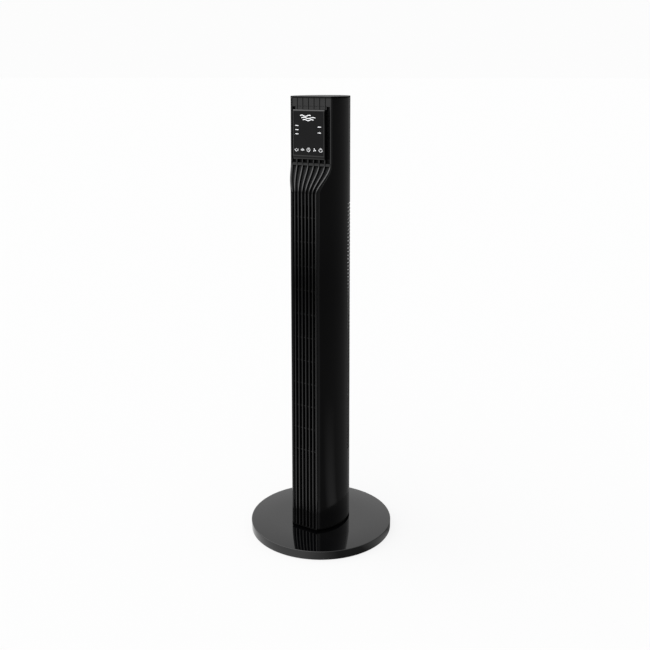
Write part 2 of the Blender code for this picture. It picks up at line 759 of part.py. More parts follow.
def make_motor():
    """The blower motor's fixed parts, hung under the bulkhead."""
    centre = (0.0, BLOWER_Y)
    outer, inner, split, wall = MOTOR_RADIUS, MOTOR_RADIUS - 0.0020, MOTOR_SPLIT, 0.0022
    lower_bell = [
        (0.0078, MOTOR_BOTTOM),
        (outer - 0.003, MOTOR_BOTTOM),
        (outer, MOTOR_BOTTOM + 0.003),
        (outer, split - GAP),
        (inner, split - GAP),
        (inner, MOTOR_BOTTOM + wall),
        (0.0078, MOTOR_BOTTOM + wall),
    ]
    upper_bell = [
        (0.0078, MOTOR_TOP),
        (outer - 0.003, MOTOR_TOP),
        (outer, MOTOR_TOP - 0.003),
        (outer, split),
        (inner, split),
        (inner, MOTOR_TOP - wall),
        (0.0078, MOTOR_TOP - wall),
    ]
    stack_low, stack_high, apart = split - STACK_HALF, split + STACK_HALF, 0.0004
    stator = tube(0.0245, 0.0380, stack_low, stack_high)
    lower_winding = tube(0.0260, 0.0350, MOTOR_BOTTOM + 0.0085, stack_low - apart)
    upper_winding = tube(0.0260, 0.0350, stack_high + apart, MOTOR_TOP - 0.0070)
    pad = tube(0.0200, 0.0340, MOTOR_TOP + GAP, BULKHEAD_BOTTOM - GAP)
    upper = turned("motor_bell_upper", upper_bell, 20, centre)
    combine(upper, motor_bores("bell_bore", MOTOR_TOP - 0.005, MOTOR_TOP + 0.001), "DIFFERENCE")
    mount_pad = turned("motor_pad", pad, 20, centre)
    combine(mount_pad, motor_bores("pad_bore", MOTOR_TOP - 0.001, BULKHEAD_BOTTOM + 0.001), "DIFFERENCE")
    bodies = [
        upper,
        mount_pad,
        turned("motor_bell_lower", lower_bell, 20, centre),
        turned("motor_stator", stator, 20, centre),
        turned("motor_winding_lower", lower_winding, 20, centre),
        turned("motor_winding_upper", upper_winding, 20, centre),
    ]
    bush_bore, bush_radius, bush_length = SHAFT_RADIUS + 0.00005, 0.0075, 0.005
    for name, low in (("lower", MOTOR_BOTTOM - 0.001), ("upper", MOTOR_TOP - 0.004)):
        ring = tube(bush_bore, bush_radius, low, low + bush_length)
        bodies.append(turned(f"motor_bearing_{name}", ring, 20, centre))
    return bodies


def make_motor_screws():
    head = BULKHEAD_BOTTOM + BULKHEAD_THICKNESS + GAP
    profile = [(0.0019, MOTOR_TOP - 0.006), (0.0019, head), (0.0038, head), (0.0038, head + 0.002)]
    places = [(side * MOTOR_SCREW_X, BLOWER_Y) for side in (-1, 1)]
    return [
        turned(f"motor_screw_{i}", profile, 12, place, around=False) for i, place in enumerate(places, 1)
    ]


def make_rotor():
    """The motor's shaft with its rotor, which carries the blower."""
    rotor, low, high = 0.0240, MOTOR_SPLIT - STACK_HALF + 0.001, MOTOR_SPLIT + STACK_HALF - 0.001
    profile = [
        (SHAFT_RADIUS, MOTOR_BOTTOM - 0.002),
        (SHAFT_RADIUS, low),
        (rotor, low),
        (rotor, high),
        (SHAFT_RADIUS, high),
        (SHAFT_RADIUS, BLOWER_BOTTOM + 0.0025),
    ]
    return [turned("motor_rotor", profile, 20, (0.0, BLOWER_Y), around=False)]


def blade_outline(bearing):
    """A flat blade, its inner edge swept back."""
    thickness, inner, sweep = 0.0012, BLOWER_RADIUS - 0.008, math.radians(9)
    ends = [
        Vector((radius * math.cos(angle), radius * math.sin(angle)))
        for radius, angle in ((inner, bearing - sweep), (BLOWER_RADIUS, bearing + sweep))
    ]
    along = (ends[1] - ends[0]).normalized()
    across = Vector((-along.y, along.x)) * thickness / 2
    corners = [ends[0] - across, ends[1] - across, ends[1] + across, ends[0] + across]
    return [(corner.x, BLOWER_Y + corner.y) for corner in corners]


def make_impeller():
    """The cross-flow blower: blades between end discs, held by rings, with a hub for the motor shaft."""
    centre, edge, sides = (0.0, BLOWER_Y), BLOWER_RADIUS + 0.0006, 2 * BLADE_COUNT
    hub, hub_bottom, disc, bore = 0.0090, BLOWER_BOTTOM - 0.008, 0.003, SHAFT_RADIUS + GAP
    bottom_disc = [
        (bore, BLOWER_BOTTOM + disc),
        (edge, BLOWER_BOTTOM + disc),
        (edge, BLOWER_BOTTOM),
        (hub, BLOWER_BOTTOM),
        (hub, hub_bottom),
        (bore, hub_bottom),
    ]
    impeller = turned("impeller", bottom_disc, sides, centre)
    top_disc = [(edge, BLOWER_TOP - disc), (edge, BLOWER_TOP)]
    parts = [turned("blower_top_disc", top_disc, sides, centre, around=False)]
    for i in (1, 2):
        z = BLOWER_BOTTOM + (BLOWER_TOP - BLOWER_BOTTOM) * i / 3
        ring = tube(BLOWER_RADIUS - 0.0090, edge, z - 0.0009, z + 0.0009)
        parts.append(turned(f"blower_ring_{i}", ring, sides, centre))
    for i in range(BLADE_COUNT):
        outline = blade_outline(2 * math.pi * i / BLADE_COUNT)
        parts.append(prism(f"blade_{i}", outline, BLOWER_BOTTOM + disc / 2, BLOWER_TOP - disc / 2))
    pin_bottom, pin_flange, pin_radius = BLOWER_TOP + GAP, 0.0025, 0.0025
    pin = [
        (hub, pin_bottom),
        (hub, pin_bottom + pin_flange),
        (pin_radius, pin_bottom + pin_flange),
        (pin_radius, BRACKET_BOTTOM + 0.0100),
    ]
    return [combine(impeller, parts, "UNION"), turned("impeller_top_pin", pin, 16, centre, around=False)]


def make_swing_drive():
    """The swing motor on its bracket over the pinion."""
    outer, inner, foot, sheet = 0.0240, 0.0225, 0.0290, 0.0015
    low, high = BRACKET_LOW, BRACKET_HIGH
    u_shape = [
        (-foot, low),
        (-inner, low),
        (-inner, high - sheet),
        (inner, high - sheet),
        (inner, low),
        (foot, low),
        (foot, low + sheet),
        (outer, low + sheet),
        (outer, high),
        (-outer, high),
        (-outer, low + sheet),
        (-foot, low + sheet),
    ]
    bracket = skin("swing_bracket", [[(x, y, z) for x, z in u_shape] for y in (0.0270, 0.0450)])
    hole = [(0.0034, high - 0.004), (0.0034, high + 0.004)]
    combine(bracket, [turned("shaft_hole", hole, 16, (0, GEAR_CENTRES), around=False)], "DIFFERENCE")
    can_top = SWING_MOTOR_BOTTOM + 0.0190
    can = [(0.0170, SWING_MOTOR_BOTTOM), (0.0170, can_top - 0.0015), (0.0155, can_top)]
    return [bracket, turned("swing_motor", can, 20, (0, GEAR_CENTRES + 0.007), around=False)]


def smooth_path(points, per_span):
    """Points along a Catmull-Rom curve through the given ones."""
    points = [Vector(p) for p in points]
    ends = [points[0] * 2 - points[1]] + points + [points[-1] * 2 - points[-2]]
    path = []
    for a, b, c, d in zip(ends, ends[1:], ends[2:], ends[3:]):
        for i in range(per_span):
            t = i / per_span
            linear, square, cube = c - a, 2 * a - 5 * b + 4 * c - d, 3 * b - a - 3 * c + d
            path.append(0.5 * (2 * b + linear * t + square * t**2 + cube * t**3))
    return path + [points[-1]]


def make_control_cable():
    """The lead from the power board to the control board, up the right side."""
    route = [
        (0.0180, -0.0400, 0.0700),
        (0.0200, -0.0380, 0.0860),
        (0.0320, -0.0340, 0.1050),
        (0.0440, -0.0140, 0.1400),
        (0.0458, -0.0042, 0.1720),
        (0.0458, -0.0040, 0.4400),
        (0.0456, -0.0040, 0.7060),
        (0.0448, -0.0046, 0.7400),
        (0.0360, -0.0120, 0.8000),
        (0.0250, -0.0200, 0.8420),
        (0.0245, -0.0280, 0.8450),
        CABLE_END,
    ]
    curve = bpy.data.curves.new("control_cable", "CURVE")
    curve.dimensions = "3D"
    curve.bevel_depth = 0.0014
    curve.bevel_resolution = 1
    curve.use_fill_caps = True
    path = smooth_path(route, 2)
    spline = curve.splines.new("POLY")
    spline.points.add(len(path) - 1)
    for point, place in zip(spline.points, path):
        point.co = (*place, 1.0)
    obj = bpy.data.objects.new("control_cable", curve)
    bpy.context.scene.collection.objects.link(obj)
    return obj


def make_electrics():
    """The power board stands behind the closed lower front, with the motor's capacitor on it."""
    half, front, bottom, top = 0.0280, -0.0442, 0.0400, 0.0980
    back = front + 0.0016
    return [
        box("power_board", (-half, front, bottom), (half, back, top)),
        box("motor_capacitor", (-0.0230, back + 0.0004, 0.0560), (0.0130, back + 0.0146, 0.0800)),
        make_control_cable(),
        make_cord_gland(),
    ]


# The control panel


def panel_back():
    """Just in front of the ribs that the panel covers."""
    return front_y(PANEL_BOTTOM) - GAP


def rectangle(half, bottom, top, y):
    return [(-half, y, bottom), (half, y, bottom), (half, y, top), (-half, y, top)]


def make_control_bezel():
    back = panel_back()
    face = front_y(PANEL_BOTTOM) - PANEL_PROUD
    shoulder, land = 0.0023, 0.0004
    opening = (PLATE_HALF_WIDTH + GAP, PLATE_BOTTOM - GAP, PLATE_TOP + GAP)
    rings = [
        rectangle(PANEL_HALF_WIDTH, PANEL_BOTTOM, PANEL_TOP, back),
        rectangle(PANEL_HALF_WIDTH, PANEL_BOTTOM, PANEL_TOP, face + shoulder),
        rectangle(opening[0] + land, opening[1] - land, opening[2] + land, face),
        rectangle(*opening, face),
        rectangle(*opening, back),
    ]
    return skin("control_bezel", rings, around=True)


def pin_along_y(name, radius, x, z, front, back, sides=10):
    pin = turned(name, [(radius, front), (radius, back)], sides, around=False)
    return aim(pin, (x, 0, z), (0, 1, 0))


def make_control_panel():
    face = front_y(PANEL_BOTTOM) - PANEL_PROUD
    plate_back = face + 0.0019
    board_front = face + 0.0036
    board_back = board_front + 0.0016
    inset = 0.003
    half, board_half = PLATE_HALF_WIDTH, PLATE_HALF_WIDTH - inset
    plate = box("touch_plate", (-half, face + 0.0001, PLATE_BOTTOM), (half, plate_back, PLATE_TOP))
    board = box(
        "control_board",
        (-board_half, board_front, PLATE_BOTTOM + inset),
        (board_half, board_back, PLATE_TOP - inset),
    )
    ends = (plate_back + GAP, board_front - GAP)
    bodies = [make_control_bezel(), plate, board]
    for i in range(KEY_COUNT):
        x = KEY_PITCH * (i - (KEY_COUNT - 1) / 2)
        bodies.append(pin_along_y(f"touch_spring_{i + 1}", 0.0035, x, KEY_HEIGHT, *ends))
    bodies.append(pin_along_y("buzzer", 0.0045, -0.015, PLATE_BOTTOM + 0.0320, *ends, sides=12))
    low, high = PLATE_TOP - 0.0150, PLATE_TOP - 0.0090
    bodies.append(box("infrared_receiver", (0.0180, ends[0], low), (0.0240, ends[1], high)))
    return bodies


# Assembly


def finish_of(name):
    kinds = {
        "base_cover": "gloss_black_plastic",
        "touch_plate": "touch_glass",
        "front_grille": "grille_black_plastic",
        "control_bezel": "grille_black_plastic",
        "side_panel": "satin_black_plastic",
        "rear_cover": "satin_black_plastic",
        "top_cap": "satin_black_plastic",
        "rubber_foot": "black_rubber",
        "bearing_rubber": "black_rubber",
        "motor_pad": "black_rubber",
        "cord_gland": "black_rubber",
        "glide_washer": "pale_nylon",
        "sector_gear": "pale_nylon",
        "drive_pinion": "pale_nylon",
        "counterweight": "cast_iron",
        "motor_stator": "lamination_steel",
        "motor_winding": "copper_winding",
        "motor_bearing": "bronze_bush",
        "top_bearing_bracket": "inner_black_plastic",
        "top_bearing": "bronze_bush",
        "motor_bell": "motor_aluminium",
        "power_board": "circuit_board",
        "control_board": "circuit_board",
        "control_cable": "cable_sheath",
    }
    steel = ("pivot", "motor_rotor", "swing_", "impeller_top_pin", "touch_spring")
    for start, slot in kinds.items():
        if name.startswith(start):
            return slot
    return "plated_steel" if "screw" in name or name.startswith(steel) else "inner_black_plastic"


def paint(obj):
    color, roughness, metallic = FINISHES[finish_of(obj.name)]
    material = bpy.data.materials.new(f"{obj.name}_finish")
    material.use_nodes = True
    shader = material.node_tree.nodes["Principled BSDF"]
    shader.inputs["Base Color"].default_value = (*color, 1.0)
    shader.inputs["Roughness"].default_value = roughness
    shader.inputs["Metallic"].default_value = metallic
    obj.data.materials.append(material)


def joint_frame(name, place, parent):
    """An empty on a joint's axis, which the pieces that turn about it hang from."""
    empty = bpy.data.objects.new(name, None)
    empty.empty_display_size = 0.05
    bpy.context.scene.collection.objects.link(empty)
    empty["place"] = place
    empty.location = Vector(place)
    if parent:
        empty.parent = parent
        empty.location -= Vector(parent["place"])
    return empty


def assemble(parent, bodies):
    for obj in bodies:
        paint(obj)
        obj.parent = parent
        obj.matrix_parent_inverse = Matrix.Translation(-Vector(parent["place"]))


def main():
    for obj in list(bpy.data.objects):
        bpy.data.objects.remove(obj)
    base = joint_frame("base_frame", (0, 0, 0), None)
    column = joint_frame("column_swing", (0, 0, DISC_TOP), base)
    blower = joint_frame("impeller_spin", (0, BLOWER_Y, BLOWER_BOTTOM), column)
    pinion = joint_frame("pinion_spin", (0, GEAR_CENTRES, GEAR_BOTTOM), column)

    assemble(base, make_base_cover() + make_base_plate() + make_base_screws() + make_rubber_feet())
    assemble(base, make_base_insides() + make_sector_gear())
    sides = [make_side_panel("side_panel_left", -1), make_side_panel("side_panel_right", 1)]
    assemble(column, make_column_floor() + make_top_cap() + sides + make_front_grille() + make_rear_cover())
    assemble(column, make_rear_screws() + make_ducts() + make_bulkheads() + make_top_bearing())
    assemble(column, make_motor() + make_motor_screws() + make_swing_drive() + make_electrics())
    assemble(column, make_control_panel())
    assemble(blower, make_impeller() + make_rotor())
    assemble(pinion, make_pinion())


main()
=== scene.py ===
"""Looks for the tower fan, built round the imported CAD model.

Metres, +Z up, front towards -Y. The shape of the column is worked out as in the CAD source, so each finer
piece lies where its node lies.
"""

import json
import math

import bmesh
import bpy
from mathutils import Matrix, Vector


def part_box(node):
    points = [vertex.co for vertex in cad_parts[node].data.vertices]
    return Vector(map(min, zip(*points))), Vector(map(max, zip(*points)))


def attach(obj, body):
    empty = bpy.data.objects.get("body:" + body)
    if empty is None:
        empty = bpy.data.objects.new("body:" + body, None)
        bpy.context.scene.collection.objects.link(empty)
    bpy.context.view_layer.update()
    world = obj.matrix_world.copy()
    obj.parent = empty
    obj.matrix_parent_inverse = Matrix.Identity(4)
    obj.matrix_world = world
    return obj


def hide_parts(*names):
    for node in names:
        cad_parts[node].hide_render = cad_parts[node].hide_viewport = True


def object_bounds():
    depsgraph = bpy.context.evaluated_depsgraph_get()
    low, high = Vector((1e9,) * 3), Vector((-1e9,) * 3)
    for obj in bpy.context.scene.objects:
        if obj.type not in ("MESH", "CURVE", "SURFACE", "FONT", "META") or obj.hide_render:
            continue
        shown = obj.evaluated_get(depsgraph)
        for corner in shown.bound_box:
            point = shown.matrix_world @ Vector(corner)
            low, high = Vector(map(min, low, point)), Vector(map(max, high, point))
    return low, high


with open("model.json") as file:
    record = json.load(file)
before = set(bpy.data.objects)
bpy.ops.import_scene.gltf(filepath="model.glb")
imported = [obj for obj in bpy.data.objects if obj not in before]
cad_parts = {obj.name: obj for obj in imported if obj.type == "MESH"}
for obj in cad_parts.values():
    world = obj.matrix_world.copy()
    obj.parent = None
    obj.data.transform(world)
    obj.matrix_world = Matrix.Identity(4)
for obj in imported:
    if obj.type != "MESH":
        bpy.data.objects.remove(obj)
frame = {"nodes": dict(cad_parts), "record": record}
cad_low, cad_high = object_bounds()

# The column's section, as in the CAD source
GAP = 0.0003
WALL = 0.0025
COLUMN_HALF_WIDTH = 0.0545
COLUMN_HALF_DEPTH = 0.0722
SCALE_AT_FOOT = 1.028
SCALE_AT_TOP = 0.968
FACE_SHARE_LOW = 0.0297 / COLUMN_HALF_WIDTH
FACE_SHARE_HEAD = 0.0468 / COLUMN_HALF_WIDTH
CURVE_BOTTOM = 0.725
CURVE_TOP = 0.784
RIM_FACE = 0.0024
RIB_COUNT = 6
RIB_WIDTH = 0.0025
RIB_DEPTH = 0.0080
TIE_FIRST = 0.196
TIE_PITCH = 0.0484
TIE_COUNT = 11
OUTLET_BOTTOM = 0.177
OUTLET_TOP = 0.703
PROUD_LOW = 0.0036
PROUD_HEAD = 0.0003
DEEP_WALL = (0.0058, 0.0078)
LEDGE_WALL = (0.0014, 0.0078)
LIP_WALL = (0.0012, 0.0040)
LEDGE_BOTTOM = 0.8885
LIP_BOTTOM = 0.7775
LIP_TOP = 0.7822
SILL_BOTTOM = 0.8800
SILL_HALF = 0.0350
SEAM_Y = 0.0140
RAIL = 0.0055
SPINE_HALF = math.radians(5)
SLOT_PITCH = 0.0074
SLOT_HEIGHT = 0.0039
SLOT_COUNT = 71
SLOT_BOTTOM = 0.180
COLLAR_RADIUS = 0.0550
COLLAR_TOP = 0.0225
INNER = WALL + 0.0012
OPEN_FRONT = RIB_DEPTH + 2 * GAP
BLOWER_Y = 0.004
BLOWER_RADIUS = 0.0330
BLADE_COUNT = 18

# Details that only this model has
SHARP_ANGLE = math.radians(35)
TIE_FRONT = 0.0042
TIE_BACK = 0.0071
TIE_HALF_HEIGHT = 0.00125
FACE_LEG = 0.0030
GLAND_HOLE = 0.0054
REAR_SCREW_HOLE = 0.0021
REAR_SCREW_X = 0.020
REAR_SCREW_HEAD = 0.0034
REAR_SCREW_LENGTH = 0.0130
CUT_INWARD = -0.012
CUT_OUTWARD = 0.006

# Heights and sizes read from the CAD nodes
TOTAL_HEIGHT = cad_high.z
DISC_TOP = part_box("base_cover")[1].z
BASE_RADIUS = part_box("base_cover")[1].x
RIM_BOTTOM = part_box("base_cover")[0].z
COLUMN_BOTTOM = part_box("side_panel_right")[0].z
CASING_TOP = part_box("side_panel_right")[1].z
CAP_BOTTOM = CASING_TOP + GAP


def scale_at(z):
    return SCALE_AT_FOOT + (SCALE_AT_TOP - SCALE_AT_FOOT) * z / TOTAL_HEIGHT


def half_axes(z, inset=0.0):
    scale = scale_at(z)
    return COLUMN_HALF_WIDTH * scale - inset, COLUMN_HALF_DEPTH * scale - inset


def curve_share(z):
    """How far the S-curve has come at height z: 0 below it, 1 above it."""
    t = min(max((z - CURVE_BOTTOM) / (CURVE_TOP - CURVE_BOTTOM), 0.0), 1.0)
    return t * t * (3 - 2 * t)


def cut_y(z):
    """Y of the plane that cuts the ellipse; the front face stands proud of it."""
    b = half_axes(z)[1]
    low, head = (-b * math.sqrt(1 - share**2) for share in (FACE_SHARE_LOW, FACE_SHARE_HEAD))
    return low + (head - low) * curve_share(z)


def front_y(z):
    """Y of the front face, which stands less proud at the head."""
    return cut_y(z) - PROUD_LOW - (PROUD_HEAD - PROUD_LOW) * curve_share(z)


def side_x(y, z, inset=0.0):
    a, b = half_axes(z, inset)
    return a * math.sqrt(1 - (y / b) ** 2)


def side_y(x, z, inset=0.0):
    a, b = half_axes(z, inset)
    return b * math.sqrt(1 - (x / a) ** 2)


def stations(bottom, top, curve_steps=28, step=0.03):
    """Heights from bottom to top: even steps, and closer ones through the S-curve."""
    rise = (CURVE_TOP - CURVE_BOTTOM) / curve_steps
    inside = [CURVE_BOTTOM + rise * i for i in range(curve_steps + 1)]
    below = [bottom] + [bottom + step * i for i in range(1, int((CURVE_BOTTOM - bottom) / step))]
    heights = below + [z for z in inside if bottom < z < top]
    return [z for z in heights if z < top - 0.0005] + [top]


def section(z, inset, front, arc_steps=120, front_steps=24):
    """The column's section: an arc from the right corner round the back, then the straight front."""
    a, b = half_axes(z, inset)
    y = front_y(z) + front
    corner = max(y, cut_y(z))
    start = math.asin(corner / b)
    turn = math.pi - 2 * start
    angles = [start + turn * i / arc_steps for i in range(arc_steps + 1)]
    arc = [(a * math.cos(angle), b * math.sin(angle), z) for angle in angles]
    half = a * math.cos(start)
    shares = [i / front_steps for i in range(1, front_steps)]
    if y < corner:
        shares = [i / (front_steps - 2) for i in range(front_steps - 1)]
    return arc + [(half * (2 * share - 1), y, z) for share in shares]


# Mesh tools


def finish_mesh(name, mesh):
    bmesh.ops.recalc_face_normals(mesh, faces=mesh.faces)
    data = bpy.data.meshes.new(name)
    mesh.to_mesh(data)
    mesh.free()
    obj = bpy.data.objects.new(name, data)
    bpy.context.scene.collection.objects.link(obj)
    data.shade_smooth()
    data.set_sharp_from_angle(angle=SHARP_ANGLE)
    return obj


def add_skin(mesh, rings, around=False):
    loops = [[mesh.verts.new(point) for point in ring] for ring in rings]
    pairs = list(zip(loops, loops[1:]))
    if around:
        pairs.append((loops[-1], loops[0]))
    for low, high in pairs:
        for i in range(len(low)):
            j = (i + 1) % len(low)
            mesh.faces.new((low[i], low[j], high[j], high[i]))
    if not around:
        mesh.faces.new(loops[0][::-1])
        mesh.faces.new(loops[-1])


def skin(name, rings, around=False):
    mesh = bmesh.new()
    add_skin(mesh, rings, around)
    return finish_mesh(name, mesh)


def skins(name, bodies):
    """One piece made of several closed bodies, each a list of rings."""
    mesh = bmesh.new()
    for rings in bodies:
        add_skin(mesh, rings)
    return finish_mesh(name, mesh)


def circle(radius, z, sides, centre=(0.0, 0.0)):
    angles = [2 * math.pi * i / sides for i in range(sides)]
    return [(centre[0] + radius * math.cos(a), centre[1] + radius * math.sin(a), z) for a in angles]


def circle_like(ring, radius, z):
    bearings = [math.atan2(point[1], point[0]) for point in ring]
    return [(radius * math.cos(a), radius * math.sin(a), z) for a in bearings]


def turned(name, profile, sides=64, centre=(0.0, 0.0), around=True):
    return skin(name, [circle(radius, z, sides, centre) for radius, z in profile], around)


def rounded(points, radius, steps=4):
    """A profile of (radius, z) points whose listed corners are rounded: points are (r, z, round or not)."""
    out = []
    count = len(points)
    for i, (r, z, soft) in enumerate(points):
        if not soft:
            out.append((r, z))
            continue
        here = Vector((r, z))
        before = (Vector(points[i - 1][:2]) - here).normalized() * radius
        after = (Vector(points[(i + 1) % count][:2]) - here).normalized() * radius
        for k in range(steps + 1):
            t = k / steps
            p = here + before * (1 - t) ** 2 + after * t**2
            out.append((p.x, p.y))
    return out


def aim(obj, place, direction):
    turn = Vector((0, 0, 1)).rotation_difference(Vector(direction)).to_matrix().to_4x4()
    obj.data.transform(Matrix.Translation(Vector(place)) @ turn)
    return obj


# Materials


def plastic(name, color, roughness, *, level=0.5, metallic=0.0, grain=900.0, bump=0.05, spread=0.25,
            rough_spread=0.08, streaks=0.0, wear=0.0):
    """A procedural finish: mottled colour, uneven gloss, fine moulded grain, faint streaks and worn edges."""
    material = bpy.data.materials.new(name)
    material.use_nodes = True
    nodes, links = material.node_tree.nodes, material.node_tree.links
    shader = nodes["Principled BSDF"]
    shader.inputs["Metallic"].default_value = metallic
    shader.inputs["Specular IOR Level"].default_value = level
    place = nodes.new("ShaderNodeTexCoord").outputs["Object"]

    def noise(scale, detail, stretch=(1, 1, 1)):
        mapping = nodes.new("ShaderNodeMapping")
        mapping.inputs["Scale"].default_value = stretch
        links.new(place, mapping.inputs["Vector"])
        node = nodes.new("ShaderNodeTexNoise")
        node.inputs["Scale"].default_value = scale
        node.inputs["Detail"].default_value = detail
        links.new(mapping.outputs["Vector"], node.inputs["Vector"])
        return node.outputs["Fac"]

    def blend_range(source, low, high):
        node = nodes.new("ShaderNodeMapRange")
        node.inputs["From Min"].default_value = 0.3
        node.inputs["From Max"].default_value = 0.7
        node.inputs["To Min"].default_value = low
        node.inputs["To Max"].default_value = high
        links.new(source, node.inputs["Value"])
        return node.outputs["Result"]

    ramp = nodes.new("ShaderNodeMix")
    ramp.data_type = "RGBA"
    ramp.inputs["A"].default_value = (*[c * (1 - spread) for c in color], 1)
    ramp.inputs["B"].default_value = (*[c * (1 + spread) for c in color], 1)
    links.new(blend_range(noise(45.0, 4.0), 0.0, 1.0), ramp.inputs["Factor"])
    tone = ramp.outputs["Result"]
    if wear:
        edge = nodes.new("ShaderNodeNewGeometry").outputs["Pointiness"]
        worn = nodes.new("ShaderNodeMapRange")
        worn.inputs["From Min"].default_value = 0.52
        worn.inputs["From Max"].default_value = 0.60
        worn.inputs["To Max"].default_value = wear
        links.new(edge, worn.inputs["Value"])
        rub = nodes.new("ShaderNodeMix")
        rub.data_type = "RGBA"
        rub.inputs["B"].default_value = (*[min(1.0, c * 2.5 + 0.02) for c in color], 1)
        links.new(worn.outputs["Result"], rub.inputs["Factor"])
        links.new(tone, rub.inputs["A"])
        tone = rub.outputs["Result"]
    links.new(tone, shader.inputs["Base Color"])

    rough = blend_range(noise(70.0, 5.0), roughness - rough_spread / 2, roughness + rough_spread / 2)
    if streaks:
        add = nodes.new("ShaderNodeMath")
        add.operation = "ADD"
        links.new(rough, add.inputs[0])
        links.new(blend_range(noise(300.0, 3.0, (1, 1, 0.05)), 0.0, streaks), add.inputs[1])
        rough = add.outputs["Value"]
    links.new(rough, shader.inputs["Roughness"])

    relief = nodes.new("ShaderNodeBump")
    relief.inputs["Strength"].default_value = bump
    relief.inputs["Distance"].default_value = 0.0004
    links.new(noise(grain, 3.0), relief.inputs["Height"])
    links.new(relief.outputs["Normal"], shader.inputs["Normal"])
    return material


MATERIALS = {
    "satin_black_plastic": plastic("satin_black", (0.0003, 0.0003, 0.0004), 0.11, level=0.25, bump=0.05,
                                   wear=0.10),
    "gloss_black_plastic": plastic("gloss_black", (0.0010, 0.0010, 0.0012), 0.045, grain=35.0, bump=0.010,
                                   rough_spread=0.02, spread=0.15),
    "grille_black_plastic": plastic("grille_black", (0.0010, 0.0010, 0.0012), 0.09, level=0.5, bump=0.04,
                                    wear=0.10),
    "touch_glass": plastic("touch_acrylic", (0.0022, 0.0022, 0.0026), 0.16, level=0.16, grain=60.0, bump=0.01,
                           rough_spread=0.04),
    "inner_black_plastic": plastic("inner_black", (0.008, 0.008, 0.008), 0.55, bump=0.12),
    "black_rubber": plastic("rubber_black", (0.012, 0.012, 0.012), 0.80, level=0.25, bump=0.25, grain=500.0),
    "pale_nylon": plastic("natural_nylon", (0.62, 0.59, 0.50), 0.45, spread=0.06, bump=0.06),
    "cast_iron": plastic("cast_iron", (0.060, 0.058, 0.056), 0.68, metallic=0.8, bump=0.5, grain=350.0),
    "plated_steel": plastic("plated_steel", (0.52, 0.52, 0.53), 0.30, metallic=1.0, streaks=0.10,
                            spread=0.08),
    "lamination_steel": plastic("laminations", (0.24, 0.24, 0.26), 0.42, metallic=1.0, streaks=0.15),
    "copper_winding": plastic("copper_wire", (0.50, 0.19, 0.075), 0.38, metallic=0.9, grain=1400.0, bump=0.4),
    "bronze_bush": plastic("sintered_bronze", (0.40, 0.26, 0.12), 0.42, metallic=1.0, bump=0.2),
    "motor_aluminium": plastic("motor_aluminium", (0.46, 0.47, 0.48), 0.38, metallic=1.0, streaks=0.08,
                               spread=0.08),
    "circuit_board": plastic("solder_mask", (0.015, 0.10, 0.04), 0.40, bump=0.15, grain=250.0),
    "cable_sheath": plastic("cable_sheath", (0.012, 0.012, 0.013), 0.55, bump=0.08),
}
# A duller, darker copy of the grille's black: painted shade for the deep walls behind the ribs and the tray
# under the column.
SHADED_BLACK = plastic("shaded_black", (0.0008, 0.0008, 0.0008), 0.60, level=0.10, bump=0.10)
# A duller copy of the grille's black: painted shade for the recessed wall behind the ribs, from the outlet's
# top up to the ledge.
RECESS_SHADE_BLACK = plastic("recess_shade_black", (0.0042, 0.0042, 0.0046), 0.45, level=0.12, bump=0.08)
PRINT = plastic("white_print", (0.82, 0.83, 0.84), 0.45, spread=0.03, bump=0.02)

SLOT_OF = {row["node"]: row["material_slot"] for row in frame["record"]["subparts"]}
BODY_OF = {node: body for body, nodes in frame["record"]["behaviour"]["bodies"].items() for node in nodes}


def stand_for(piece, *nodes, material=None):
    """The piece takes the place, the body, the slot and the finish of these CAD nodes."""
    slot = SLOT_OF[nodes[0]]
    piece.data.materials.clear()
    piece.data.materials.append(material or MATERIALS[slot])
    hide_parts(*nodes)
    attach(piece, BODY_OF[nodes[0]])
    return piece


def go_with(piece, node, material=None):
    """An extra piece on the same body as a node, with its slot."""
    piece.data.materials.clear()
    piece.data.materials.append(material or MATERIALS[SLOT_OF[node]])
    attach(piece, BODY_OF[node])
    return piece


def paint_cad_nodes():
    for name, obj in frame["nodes"].items():
        obj.data.materials.clear()
        obj.data.materials.append(MATERIALS[SLOT_OF[name]])
        obj.data.shade_smooth()
        obj.data.set_sharp_from_angle(angle=SHARP_ANGLE)


# The base


def make_disc():
    """The glossy disc with its rounded edge."""
    hole, under, wall = 0.0130, DISC_TOP - 0.0032, 0.0030
    inside = BASE_RADIUS - wall
    points = [
        (hole, DISC_TOP, False),
        (BASE_RADIUS, DISC_TOP, True),
        (BASE_RADIUS, RIM_BOTTOM, True),
        (inside, RIM_BOTTOM, False),
        (inside, under, False),
        (hole, under, False),
    ]
    profile = rounded(points, 0.0014)
    profile.insert(1, (BASE_RADIUS * 0.6, DISC_TOP))
    return stand_for(turned("disc", profile, sides=192), "base_cover")


def make_feet():
    for i in range(1, 5):
        low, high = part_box(f"rubber_foot_{i}")
        centre, radius = (low + high) / 2, (high.x - low.x) / 2
        top = high.z
        profile = [
            (radius * 0.45, 0.0006),
            (radius * 0.50, 0.0),
            (radius * 0.90, 0.0),
            (radius * 0.97, 0.0003),
            (radius, 0.0009),
            (radius, top),
        ]
        foot = turned(f"foot_{i}", profile, 48, (centre.x, centre.y), around=False)
        stand_for(foot, f"rubber_foot_{i}")


